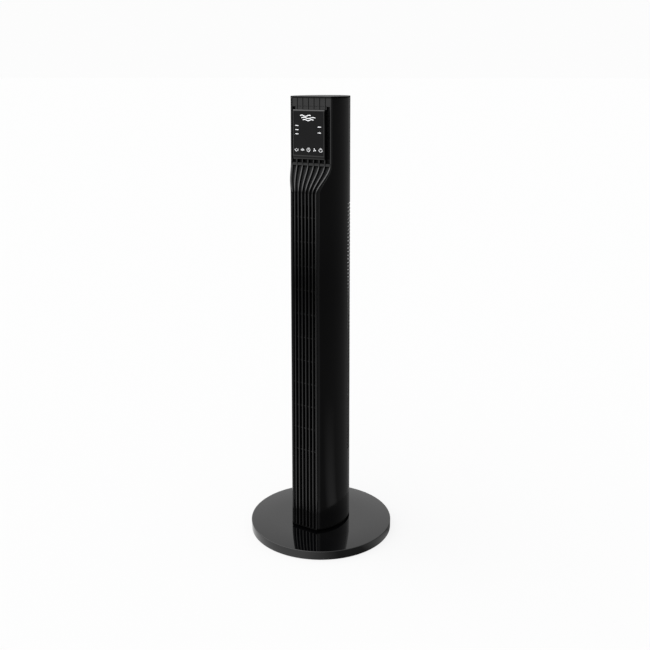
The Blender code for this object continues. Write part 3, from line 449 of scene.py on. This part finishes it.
def make_foot_collar():
    """The tray under the column with its round collar and its hub; its duller black is painted shade under
    the column.
    """
    wall, flange, hub, bore = 0.0042, 0.0022, 0.0160, 0.0104
    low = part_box("column_floor")[0]
    floor_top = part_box("swing_bracket")[0].z - GAP
    hub_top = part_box("sector_gear")[0].z - 0.0006
    hub_bottom = DISC_TOP + 0.0014
    underside = COLLAR_TOP + 0.0026
    edge = section(COLLAR_TOP, 0.0, 0.0)
    inside = section(COLLAR_TOP + flange, INNER + GAP, OPEN_FRONT)
    round_edge = 0.0006
    rings = [
        circle_like(edge, COLLAR_RADIUS - 0.0004, low.z),
        circle_like(edge, COLLAR_RADIUS, low.z + 0.0004),
        circle_like(edge, COLLAR_RADIUS, COLLAR_TOP),
        section(COLLAR_TOP, round_edge, round_edge),
        section(COLLAR_TOP + round_edge * 0.3, round_edge * 0.3, round_edge * 0.3),
        section(COLLAR_TOP + round_edge, 0.0, 0.0),
        section(COLLAR_TOP + flange, 0.0, 0.0),
        inside,
        section(floor_top, INNER + GAP, OPEN_FRONT),
        circle_like(inside, hub, floor_top),
        circle_like(inside, hub, hub_top),
        circle_like(inside, bore, hub_top),
        circle_like(inside, bore, hub_bottom),
        circle_like(inside, hub, hub_bottom),
        circle_like(inside, hub, underside),
        circle_like(edge, COLLAR_RADIUS - wall, underside),
        circle_like(edge, COLLAR_RADIUS - wall, low.z),
    ]
    return stand_for(skin("foot_collar", rings, around=True), "column_floor", material=SHADED_BLACK)


# The casing


def make_side(name, node, side):
    """A smooth side of the casing with a rounded front edge and a fine seam lip behind."""
    steps, lip = 44, 0.0009
    rings = []
    for z in stations(COLUMN_BOTTOM, CASING_TOP):
        front = cut_y(z) + RIM_FACE + 2 * GAP
        outer, inner = [], []
        for inset, line in ((0.0, outer), (WALL, inner)):
            a, b = half_axes(z, inset)
            start, end = math.asin(front / b), math.asin(SEAM_Y / b)
            for i in range(steps + 1):
                angle = start + (end - start) * i / steps
                line.append((a * math.cos(angle), b * math.sin(angle)))
        soft = []
        for place, along in ((0, 1), (-1, -2)):
            corner, back, into = Vector(outer[place]), Vector(outer[along]), Vector(inner[place])
            toward = (back - corner).normalized() * lip
            inward = (into - corner).normalized() * lip
            arc = [corner + toward * (1 - t) ** 2 + inward * t**2 for t in (0.0, 0.25, 0.5, 0.75, 1.0)]
            soft.append([tuple(p) for p in arc])
        line = soft[0][::-1] + outer[1:-1] + soft[1] + inner[::-1]
        rings.append([(side * x, y, z) for x, y in line])
    return stand_for(skin(name, rings), node)


def rim_ring(side, z):
    """Section of the face's rim: a rounded nose, a straight side, a lip on the ellipse and a leg behind."""
    y, cut = front_y(z), cut_y(z)
    x = side_x(cut, z)
    lip = cut + RIM_FACE + GAP / 2
    soft, leg_outside, leg_inside = 0.0004, x - 0.0020, x - 0.0040
    points = [
        (x - RIM_FACE, y + soft),
        (x - RIM_FACE + soft * 0.3, y + soft * 0.3),
        (x - RIM_FACE + soft, y),
        (x - soft, y),
        (x - soft * 0.3, y + 0.00008),
        (x, y + 0.00020),
        (x, cut),
        (side_x(lip, z), lip),
        (leg_outside, lip),
        (leg_outside, y + RIB_DEPTH),
        (leg_inside, y + RIB_DEPTH),
        (leg_inside, y + 0.0018),
    ]
    return [(side * px, py, z) for px, py in points]


def rib_x(share, z):
    return share * (side_x(cut_y(z), z) - RIM_FACE / 2)


def rib_ring(share, z, nose=7):
    """Section of a rib: a half-round nose and a straight, slightly tapered leg."""
    y, x, half = front_y(z), rib_x(share, z), RIB_WIDTH / 2
    depth = 0.55 * half
    points = []
    for i in range(nose + 1):
        angle = math.pi * (1 - i / nose)
        points.append((x + half * math.cos(angle), y + depth * (1 - math.sin(angle)), z))
    back = front_y(z) + RIB_DEPTH
    return points + [(x + half * 0.8, back, z), (x - half * 0.8, back, z)]


def box_rings(low, high, soft=0.0004):
    """A box whose upper and lower ends are softened."""
    rings = []
    for z, inset in ((low[2], soft), (low[2] + soft, 0.0), (high[2] - soft, 0.0), (high[2], soft)):
        x0, x1, y0, y1 = low[0] + inset, high[0] - inset, low[1] + inset, high[1] - inset
        rings.append([(x0, y0, z), (x1, y0, z), (x1, y1, z), (x0, y1, z)])
    return rings


def backing_rings(bottom, top, depths, reach=COLUMN_HALF_WIDTH):
    """A wall behind the ribs, between two depths and as wide as reach allows."""
    rings = []
    for z in stations(bottom, top):
        y0, y1 = (front_y(z) + depth for depth in depths)
        half = min(side_x(cut_y(z), z) - FACE_LEG, reach)
        rings.append([(-half, y0, z), (half, y0, z), (half, y1, z), (-half, y1, z)])
    return rings


def make_face():
    """Ribs, rims, ties, the lip under the panel and the ledge over it, and the walls behind, whose duller
    blacks are painted shade.
    """
    heights = stations(COLUMN_BOTTOM, CASING_TOP)
    bodies = []
    for i in range(1, RIB_COUNT + 1):
        share = 2 * i / (RIB_COUNT + 1) - 1
        bodies.append([rib_ring(share, z) for z in heights])
    for side in (1, -1):
        bodies.append([rim_ring(side, z) for z in heights])
    for i in range(TIE_COUNT):
        z = TIE_FIRST + TIE_PITCH * i
        y, half = front_y(z), side_x(cut_y(z), z) - FACE_LEG
        low = (-half, y + TIE_FRONT, z - TIE_HALF_HEIGHT)
        high = (half, y + TIE_BACK, z + TIE_HALF_HEIGHT)
        bodies.append(box_rings(low, high))
    bodies.append(backing_rings(LIP_BOTTOM, LIP_TOP, LIP_WALL))
    bodies.append(backing_rings(LEDGE_BOTTOM, CASING_TOP, LEDGE_WALL))
    bodies.append(backing_rings(SILL_BOTTOM, LEDGE_BOTTOM + 0.0010, LEDGE_WALL, SILL_HALF))
    stand_for(skins("outlet_face", bodies), "front_grille")
    # The walls behind the ribs take duller, darker blacks than the ribs: painted shade in the recess.
    skirt = skin("skirt_wall", backing_rings(COLUMN_BOTTOM, OUTLET_BOTTOM, DEEP_WALL))
    go_with(skirt, "front_grille", SHADED_BLACK)
    curve = skin("curve_wall", backing_rings(OUTLET_TOP, LEDGE_BOTTOM, DEEP_WALL))
    go_with(curve, "front_grille", RECESS_SHADE_BLACK)


def rear_angles(b, facets):
    """Angles of the rear cover's columns: rail, slots, spine, slots, rail."""
    seam = math.asin((SEAM_Y + GAP) / b)
    first = math.asin((SEAM_Y + RAIL) / b)
    middle = math.pi / 2 - SPINE_HALF
    right = [seam, (seam + first) / 2]
    right += [first + (middle - first) * i / facets for i in range(facets + 1)]
    return right + [math.pi / 2] + [math.pi - angle for angle in reversed(right)]


def make_back():
    """The back half of the casing, with its intake slots at their real pitch."""
    facets = 12
    heights, open_rows = [COLUMN_BOTTOM], []
    for i in range(SLOT_COUNT):
        low = SLOT_BOTTOM + SLOT_PITCH * i
        heights += [low, low + SLOT_HEIGHT]
        open_rows += [False, True]
    heights.append(CASING_TOP)
    open_rows.append(False)
    slotted = [False, False] + [True] * facets + [False, False] + [True] * facets + [False, False]
    rows, columns = len(open_rows), len(slotted)
    mesh = bmesh.new()
    points = []
    for inset in (0.0, WALL):
        layer = []
        for i in range(columns + 1):
            line = []
            for z in heights:
                a, b = half_axes(z, inset)
                angle = rear_angles(b, facets)[i]
                line.append(mesh.verts.new((a * math.cos(angle), b * math.sin(angle), z)))
            layer.append(line)
        points.append(layer)

    def solid(i, j):
        return 0 <= i < columns and 0 <= j < rows and not (slotted[i] and open_rows[j])

    outer, inner = points
    for i in range(columns):
        for j in range(rows):
            if not solid(i, j):
                continue
            cell = [(i, j), (i + 1, j), (i + 1, j + 1), (i, j + 1)]
            for layer in points:
                mesh.faces.new([layer[p][q] for p, q in cell])
            beside = ((i, j - 1), (i + 1, j), (i, j + 1), (i - 1, j))
            for k, other in enumerate(beside):
                if not solid(*other):
                    (a, b), (c, d) = cell[k], cell[(k + 1) % 4]
                    mesh.faces.new((outer[a][b], outer[c][d], inner[c][d], inner[a][b]))
    back = finish_mesh("back_cover", mesh)
    cutters = back_cutters()
    for i, cutter in enumerate(cutters):
        modifier = back.modifiers.new(f"Hole{i}", "BOOLEAN")
        modifier.operation = "DIFFERENCE"
        modifier.object = cutter
    apply_modifiers(back)
    for cutter in cutters:
        bpy.data.objects.remove(cutter)
    back.data.shade_smooth()
    back.data.set_sharp_from_angle(angle=SHARP_ANGLE)
    return stand_for(back, "rear_cover")


def apply_modifiers(obj):
    graph = bpy.context.evaluated_depsgraph_get()
    graph.update()
    data = bpy.data.meshes.new_from_object(obj.evaluated_get(graph))
    obj.modifiers.clear()
    obj.data = data


def gland_place():
    low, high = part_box("cord_gland")
    z = (low.z + high.z) / 2
    return Vector((0, side_y(0, z), z))


def rear_screw_frames():
    frames = []
    for i in range(1, 5):
        low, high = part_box(f"rear_screw_{i}")
        middle = (low + high) / 2
        x = math.copysign(REAR_SCREW_X, middle.x)
        z = middle.z
        a, b = half_axes(z)
        y = side_y(x, z)
        frames.append((Vector((x, y, z)), Vector((x / a**2, y / b**2, 0)).normalized()))
    return frames


def hole_cutter(name, radius, sides, place, normal):
    profile = [(radius, CUT_INWARD), (radius, CUT_OUTWARD)]
    return aim(turned(name, profile, sides, around=False), place, normal)


def back_cutters():
    cutters = [hole_cutter("gland_cut", GLAND_HOLE, 32, gland_place(), (0, 1, 0))]
    for i, (place, normal) in enumerate(rear_screw_frames()):
        cutters.append(hole_cutter(f"screw_cut_{i}", REAR_SCREW_HOLE, 24, place, normal))
    return cutters


def make_cap():
    """The flat top with a softened upper edge."""
    soft, plug = 0.0012, 0.006
    rings = [
        section(CAP_BOTTOM - plug, INNER + GAP, OPEN_FRONT),
        section(CAP_BOTTOM, INNER + GAP, OPEN_FRONT),
        section(CAP_BOTTOM, 0.0, 0.0),
        section(TOTAL_HEIGHT - soft, 0.0, 0.0),
    ]
    for t in (0.25, 0.5, 0.75, 1.0):
        angle = t * math.pi / 2
        inset = soft * (1 - math.cos(angle))
        rings.append(section(TOTAL_HEIGHT - soft + soft * math.sin(angle), inset, inset))
    return stand_for(skin("cap", rings), "top_cap")


def make_screw_head(name, head, place, normal, length):
    """A pan-head screw with a cross recess."""
    profile = [(0.0018, -length), (0.0018, 0.0004), (head, 0.0004), (head, 0.0011), (head * 0.9, 0.0017),
               (head * 0.6, 0.0021), (head * 0.3, 0.0023)]
    screw = turned(name, profile, 32, around=False)
    blades = []
    for turn in (0.0, math.pi / 2):
        blade = skin(f"{name}_blade", box_rings((-0.0019, -0.0004, 0.0010), (0.0019, 0.0004, 0.0040), 0.0001))
        blade.data.transform(Matrix.Rotation(turn, 4, "Z"))
        blades.append(blade)
    for i, blade in enumerate(blades):
        modifier = screw.modifiers.new(f"Slot{i}", "BOOLEAN")
        modifier.operation = "DIFFERENCE"
        modifier.object = blade
    apply_modifiers(screw)
    for blade in blades:
        bpy.data.objects.remove(blade)
    screw.data.shade_smooth()
    screw.data.set_sharp_from_angle(angle=SHARP_ANGLE)
    return aim(screw, place, normal)


def make_rear_screws():
    for i, (place, normal) in enumerate(rear_screw_frames(), 1):
        head = make_screw_head(f"rear_screw_head_{i}", REAR_SCREW_HEAD, place, normal, REAR_SCREW_LENGTH)
        stand_for(head, f"rear_screw_{i}")


def make_gland():
    """The lead's bush: a round flange with a raised collar round the bore."""
    bore, neck, flange, nut = 0.0036, 0.0050, 0.0078, 0.0072
    outside, inside = 0.0006, -WALL - 0.0020
    profile = [
        (bore + 0.0003, 0.0034),
        (bore + 0.0016, 0.0034),
        (bore + 0.0020, 0.0027),
        (flange - 0.0010, 0.0022),
        (flange - 0.0002, 0.0017),
        (flange, 0.0010),
        (flange, outside),
        (neck, outside),
        (neck, inside),
        (nut, inside),
        (nut, inside - 0.0030),
        (bore, inside - 0.0030),
        (bore, 0.0030),
    ]
    gland = turned("lead_bush", profile, 48)
    return stand_for(aim(gland, gland_place(), (0, 1, 0)), "cord_gland")


# The control panel


def panel_ring(half, bottom, top, y, radius, steps=5):
    """A rectangle with rounded corners in the plane at y."""
    ring = []
    corners = ((half, bottom, -90), (half, top, 0), (-half, top, 90), (-half, bottom, 180))
    for x, z, start in corners:
        cx, cz = x - math.copysign(radius, x), z + (radius if z == bottom else -radius)
        for k in range(steps + 1):
            angle = math.radians(start + 90 * k / steps)
            ring.append((cx + radius * math.cos(angle), y, cz + radius * math.sin(angle)))
    return ring


def make_bezel():
    low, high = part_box("control_bezel")
    plate_low, plate_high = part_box("touch_plate")
    face, back, half = low.y, high.y, high.x
    opening = (plate_high.x + GAP, plate_low.z - GAP, plate_high.z + GAP)
    land, shoulder, steps = 0.0008, 0.0023, 6
    rings = [panel_ring(half, low.z, high.z, back, 0.0016)]
    for k in range(steps + 1):
        angle = math.pi / 2 * k / steps
        out, deep = math.cos(angle), shoulder * (1 - math.sin(angle))
        edges = [a + land * sign + (b - a - land * sign) * out
                 for a, b, sign in zip(opening, (half, low.z, high.z), (1, -1, 1))]
        rings.append(panel_ring(*edges, face + deep, 0.0010 + 0.0006 * out))
    rings.append(panel_ring(*opening, face, 0.0006))
    rings.append(panel_ring(*opening, back, 0.0006))
    return stand_for(skin("panel_frame", rings, around=True), "control_bezel")


def make_plate():
    low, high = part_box("touch_plate")
    soft = 0.0002
    rings = [
        panel_ring(high.x, low.z, high.z, high.y, 0.0005),
        panel_ring(high.x, low.z, high.z, low.y + soft, 0.0005),
        panel_ring(high.x - soft, low.z + soft, high.z - soft, low.y, 0.0004),
    ]
    return stand_for(skin("touch_panel", rings), "touch_plate")


class Print:
    """Thin printed shapes on the touch plate, as closed bodies."""

    def __init__(self):
        self.bodies = []
        self.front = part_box("touch_plate")[0].y - 0.00008
        self.back = self.front + 0.00012

    def shape(self, outline):
        self.bodies.append([[(x, y, z) for x, z in outline] for y in (self.front, self.back)])

    def stroke(self, path, width):
        """A line of constant width with square ends, one quad a step."""
        path = [Vector(p) for p in path]
        sides = []
        for i, point in enumerate(path):
            before, after = path[max(i - 1, 0)], path[min(i + 1, len(path) - 1)]
            along = (after - before).normalized()
            across = Vector((-along.y, along.x)) * width / 2
            sides.append((point + across, point - across))
        self.shape([tuple(p) for p, _ in sides] + [tuple(q) for _, q in reversed(sides)])

    def arc(self, centre, radius, start, end, width, steps=20):
        angles = [math.radians(start + (end - start) * i / steps) for i in range(steps + 1)]
        path = [(centre[0] + radius * math.cos(a), centre[1] + radius * math.sin(a)) for a in angles]
        self.stroke(path, width)

    def disc(self, centre, radius, steps=16):
        angles = [2 * math.pi * i / steps for i in range(steps)]
        self.shape([(centre[0] + radius * math.cos(a), centre[1] + radius * math.sin(a)) for a in angles])


def key_places():
    places = []
    for i in range(1, 6):
        low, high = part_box(f"touch_spring_{i}")
        places.append(((low.x + high.x) / 2, (low.z + high.z) / 2))
    return places


def make_symbols():
    """Generic symbols: swing, airflow mode, timer, speed and power, with lamps' bars and an airflow mark."""
    ink = Print()
    swing, mode, timer, speed, power = key_places()
    radius, line = 0.0034, 0.0009
    ink.arc(swing, radius, 205, 335, line)
    for side in (-1, 1):
        x = swing[0] + side * radius * 0.92
        z = swing[1] - radius * 0.36
        ink.shape([(x - 0.0013, z), (x + 0.0013, z), (x + side * 0.0003, z + 0.0026)])
    ink.disc((swing[0], swing[1] + 0.0010), 0.0008)
    for i, (dx, size) in enumerate(((-0.0019, 0.0013), (0.0, 0.0020), (0.0020, 0.0014))):
        ink.arc((mode[0] + dx, mode[1] - 0.0004), size, 190 - 20 * i, -10 - 20 * i, line, 12)
    ink.stroke([(mode[0] - 0.0031, mode[1] - 0.0012), (mode[0] + 0.0033, mode[1] - 0.0012)], line)
    ink.arc(timer, radius, 0, 359, line, 32)
    ink.stroke([(timer[0], timer[1] + 0.0022), timer, (timer[0] + 0.0016, timer[1] - 0.0009)], line * 0.9)
    for i in range(3):
        angle = math.radians(90 + 120 * i)
        outline = []
        for k in range(12):
            t = k / 12 * 2 * math.pi
            x, z = 0.0019 + 0.0015 * math.cos(t), 0.0005 + 0.0010 * math.sin(t)
            outline.append((
                speed[0] + x * math.cos(angle) - z * math.sin(angle),
                speed[1] + x * math.sin(angle) + z * math.cos(angle),
            ))
        ink.shape(outline)
    ink.arc(power, radius, 125, 415, line, 26)
    ink.stroke([(power[0], power[1] + 0.0041), (power[0], power[1] + 0.0008)], line)
    for x, heights in ((-0.0260, (0.8531, 0.8452, 0.8373)), (0.0246, (0.8513, 0.8404))):
        for z in heights:
            ink.stroke([(x - 0.0034, z), (x + 0.0034, z)], 0.0016)
    for i, (x, length) in enumerate(((-0.0185, 0.024), (-0.0155, 0.031), (-0.0125, 0.024))):
        z = 0.8716 - 0.0040 * i
        path = [(x + length * t / 24, z + 0.0011 * math.sin(math.pi * 3 * t / 24)) for t in range(25)]
        ink.stroke(path, 0.0017)
    return go_with(skins("panel_symbols", ink.bodies), "touch_plate", PRINT)


# Inside the column


def make_blower():
    """The cross-flow blower with curved blades."""
    low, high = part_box("impeller")
    hub_bottom, top = low.z, high.z
    bottom = hub_bottom + 0.008
    centre, edge, disc, sides = (0.0, BLOWER_Y), BLOWER_RADIUS + 0.0006, 0.003, 72
    mesh = bmesh.new()
    bore, hub = 0.0043, 0.0090
    plate = [(bore, bottom + disc), (edge, bottom + disc), (edge, bottom), (hub, bottom), (hub, hub_bottom),
             (bore, hub_bottom)]
    add_skin(mesh, [circle(r, z, sides, centre) for r, z in plate], around=True)
    add_skin(mesh, [circle(edge, z, sides, centre) for z in (top - disc, top)])
    for i in (1, 2):
        z = bottom + (top - bottom) * i / 3
        inner = BLOWER_RADIUS - 0.0090
        ring = [(inner, z + 0.0009), (edge, z + 0.0009), (edge, z - 0.0009), (inner, z - 0.0009)]
        add_skin(mesh, [circle(r, h, sides, centre) for r, h in ring], around=True)
    steps, thickness = 6, 0.0009
    for i in range(BLADE_COUNT):
        bearing = 2 * math.pi * i / BLADE_COUNT
        spine = []
        for k in range(steps + 1):
            t = k / steps
            radius = BLOWER_RADIUS - 0.0085 * (1 - t)
            angle = bearing + math.radians(17) * math.sin(t * math.pi / 2)
            spine.append(Vector((radius * math.cos(angle), BLOWER_Y + radius * math.sin(angle))))
        left, right = [], []
        for k, point in enumerate(spine):
            along = (spine[min(k + 1, steps)] - spine[max(k - 1, 0)]).normalized()
            across = Vector((-along.y, along.x)) * thickness / 2
            left.append(point + across)
            right.append(point - across)
        outline = left + right[::-1]
        add_skin(mesh, [[(p.x, p.y, z) for p in outline] for z in (bottom + disc / 2, top - disc / 2)])
    return stand_for(finish_mesh("blower_wheel", mesh), "impeller")


# Stage, light and camera

# What the camera sees itself
FLOOR_REACH = 400.0
FLOOR_COLOUR = 0.10
FLOOR_GLOW = 0.815
BACKDROP = 0.975

# What lights the fan: sides are horizontal directions, spans of them are cosines
FLOOR_LEVEL = 0.92
DIM_LEVEL = 0.05
DIM_SIDE = (0.766, 0.643)
FLOOR_DIMMING = (-0.42, 0.12)
SKY_DIMMING = (-0.42, 0.42)
BAND_DISTANCE = 2.4
BAND_REACH = 2.0
BAND_LEVEL = 0.05
GLEAM = 0.40
GLEAM_SIDE = (1.0, 0.0)
GLEAM_SPREAD = (0.94, 1.0)
GLEAM_REACH = (0.2, 0.9)
LOW_SKY = (0.12, 0.30)
HORIZON = (0.0, 0.25)
HORIZON_LEVEL = 0.50
WINDOW_GLOW = 2.4
WINDOW_SIDE = (-0.53, -0.848)
WINDOW_SPREAD = (0.0, 0.35)
WINDOW_HEIGHT = (0.28, 0.52)

# The camera
LENS = 48.46
SENSOR_WIDTH = 36.0
SHIFT_UP = -0.0385
CAMERA_PLACE = (0.913, -1.465, 0.944)
CAMERA_TILT = math.radians(14.34)
CAMERA_TURN = math.radians(31.646)


def mapped(nodes, links, source, span, values):
    node = nodes.new("ShaderNodeMapRange")
    node.inputs["From Min"].default_value, node.inputs["From Max"].default_value = span
    node.inputs["To Min"].default_value, node.inputs["To Max"].default_value = values
    links.new(source, node.inputs["Value"])
    return node.outputs["Result"]


def facing(nodes, links, direction, side, span):
    """A socket that runs from 0 to 1 as a direction turns to one side, over a span of the cosine."""
    toward = nodes.new("ShaderNodeVectorMath")
    toward.operation = "DOT_PRODUCT"
    toward.inputs[1].default_value = (*side, 0.0)
    links.new(direction, toward.inputs[0])
    return mapped(nodes, links, toward.outputs["Value"], span, (0.0, 1.0))


def maths(nodes, links, operation, first, second):
    node = nodes.new("ShaderNodeMath")
    node.operation = operation
    for socket, value in zip(node.inputs, (first, second)):
        if isinstance(value, float):
            socket.default_value = value
        else:
            links.new(value, socket)
    return node.outputs["Value"]


def seen_or_lit(nodes, links, seen, lit):
    """Plain backdrop brightness where it is seen itself, studio brightness where it lights the fan."""
    straight = nodes.new("ShaderNodeLightPath").outputs["Is Camera Ray"]
    part = maths(nodes, links, "MULTIPLY", straight, seen)
    rest = maths(nodes, links, "SUBTRACT", 1.0, straight)
    return maths(nodes, links, "ADD", part, maths(nodes, links, "MULTIPLY", rest, lit))


def floor_light(nodes, links):
    """The floor's brightness in what it lights: dim on one side and in a band, with a gleam near the disc."""
    position = nodes.new("ShaderNodeNewGeometry").outputs["Position"]
    outward = nodes.new("ShaderNodeVectorMath")
    outward.operation = "NORMALIZE"
    links.new(position, outward.inputs[0])
    distance = nodes.new("ShaderNodeVectorMath")
    distance.operation = "LENGTH"
    links.new(position, distance.inputs[0])
    bearing, reach = outward.outputs["Vector"], distance.outputs["Value"]
    dim = facing(nodes, links, bearing, DIM_SIDE, FLOOR_DIMMING)
    lit = mapped(nodes, links, dim, (0.0, 1.0), (FLOOR_LEVEL, DIM_LEVEL))
    off_band = maths(nodes, links, "SUBTRACT", reach, BAND_DISTANCE)
    off_band = maths(nodes, links, "ABSOLUTE", off_band, 0.0)
    band = mapped(nodes, links, off_band, (0.0, BAND_REACH), (BAND_LEVEL, 1.0))
    lit = maths(nodes, links, "MULTIPLY", lit, band)
    gleam = maths(nodes, links, "MULTIPLY", facing(nodes, links, bearing, GLEAM_SIDE, GLEAM_SPREAD), GLEAM)
    close = mapped(nodes, links, reach, GLEAM_REACH, (1.0, 0.0))
    return maths(nodes, links, "ADD", lit, maths(nodes, links, "MULTIPLY", gleam, close))


def make_stage():
    """A wide pale floor that glows by itself."""
    mesh = bmesh.new()
    corners = [(x * FLOOR_REACH, y * FLOOR_REACH, 0) for x, y in ((-1, -1), (1, -1), (1, 1), (-1, 1))]
    mesh.faces.new([mesh.verts.new(corner) for corner in corners])
    floor = finish_mesh("floor", mesh)
    material = bpy.data.materials.new("pale_floor")
    material.use_nodes = True
    nodes, links = material.node_tree.nodes, material.node_tree.links
    shader = nodes["Principled BSDF"]
    shader.inputs["Base Color"].default_value = (FLOOR_COLOUR, FLOOR_COLOUR, FLOOR_COLOUR, 1)
    shader.inputs["Roughness"].default_value = 1.0
    shader.inputs["Specular IOR Level"].default_value = 0.0
    shader.inputs["Emission Color"].default_value = (1, 1, 1, 1)
    glow = seen_or_lit(nodes, links, FLOOR_GLOW, floor_light(nodes, links))
    links.new(glow, shader.inputs["Emission Strength"])
    floor.data.materials.append(material)


def sky_light(nodes, links):
    """The studio's brightness in what it lights: dim low down on one side, with a high window in front."""
    direction = nodes.new("ShaderNodeTexCoord").outputs["Generated"]
    parts = nodes.new("ShaderNodeSeparateXYZ")
    links.new(direction, parts.inputs[0])
    height = parts.outputs["Z"]
    low = mapped(nodes, links, height, LOW_SKY, (1.0, 0.0))
    dim = maths(nodes, links, "MULTIPLY", facing(nodes, links, direction, DIM_SIDE, SKY_DIMMING), low)
    side = mapped(nodes, links, dim, (0.0, 1.0), (1.0, DIM_LEVEL))
    horizon = mapped(nodes, links, height, HORIZON, (HORIZON_LEVEL, 1.0))
    side = maths(nodes, links, "MULTIPLY", side, horizon)
    high = mapped(nodes, links, height, WINDOW_HEIGHT, (0.0, WINDOW_GLOW))
    in_front = facing(nodes, links, direction, WINDOW_SIDE, WINDOW_SPREAD)
    window = maths(nodes, links, "MULTIPLY", high, in_front)
    return maths(nodes, links, "ADD", side, window)


def make_world():
    """A studio that is plain white where it is seen."""
    world = bpy.data.worlds.new("studio")
    world.use_nodes = True
    bpy.context.scene.world = world
    nodes, links = world.node_tree.nodes, world.node_tree.links
    background = nodes["Background"]
    background.inputs["Color"].default_value = (1, 1, 1, 1)
    glow = seen_or_lit(nodes, links, BACKDROP, sky_light(nodes, links))
    links.new(glow, background.inputs["Strength"])


def make_camera():
    data = bpy.data.cameras.new("view")
    data.lens = LENS
    data.sensor_width = SENSOR_WIDTH
    data.shift_y = SHIFT_UP
    camera = bpy.data.objects.new("view", data)
    bpy.context.scene.collection.objects.link(camera)
    camera.location = CAMERA_PLACE
    camera.rotation_euler = (math.pi / 2 - CAMERA_TILT, 0, CAMERA_TURN)
    bpy.context.scene.camera = camera


def main():
    bpy.context.scene.view_settings.view_transform = "Standard"
    paint_cad_nodes()
    make_disc()
    make_feet()
    make_foot_collar()
    make_side("side_left", "side_panel_left", -1)
    make_side("side_right", "side_panel_right", 1)
    make_face()
    make_back()
    make_cap()
    make_rear_screws()
    make_gland()
    make_bezel()
    make_plate()
    make_symbols()
    make_blower()
    make_stage()
    make_world()
    make_camera()


main()
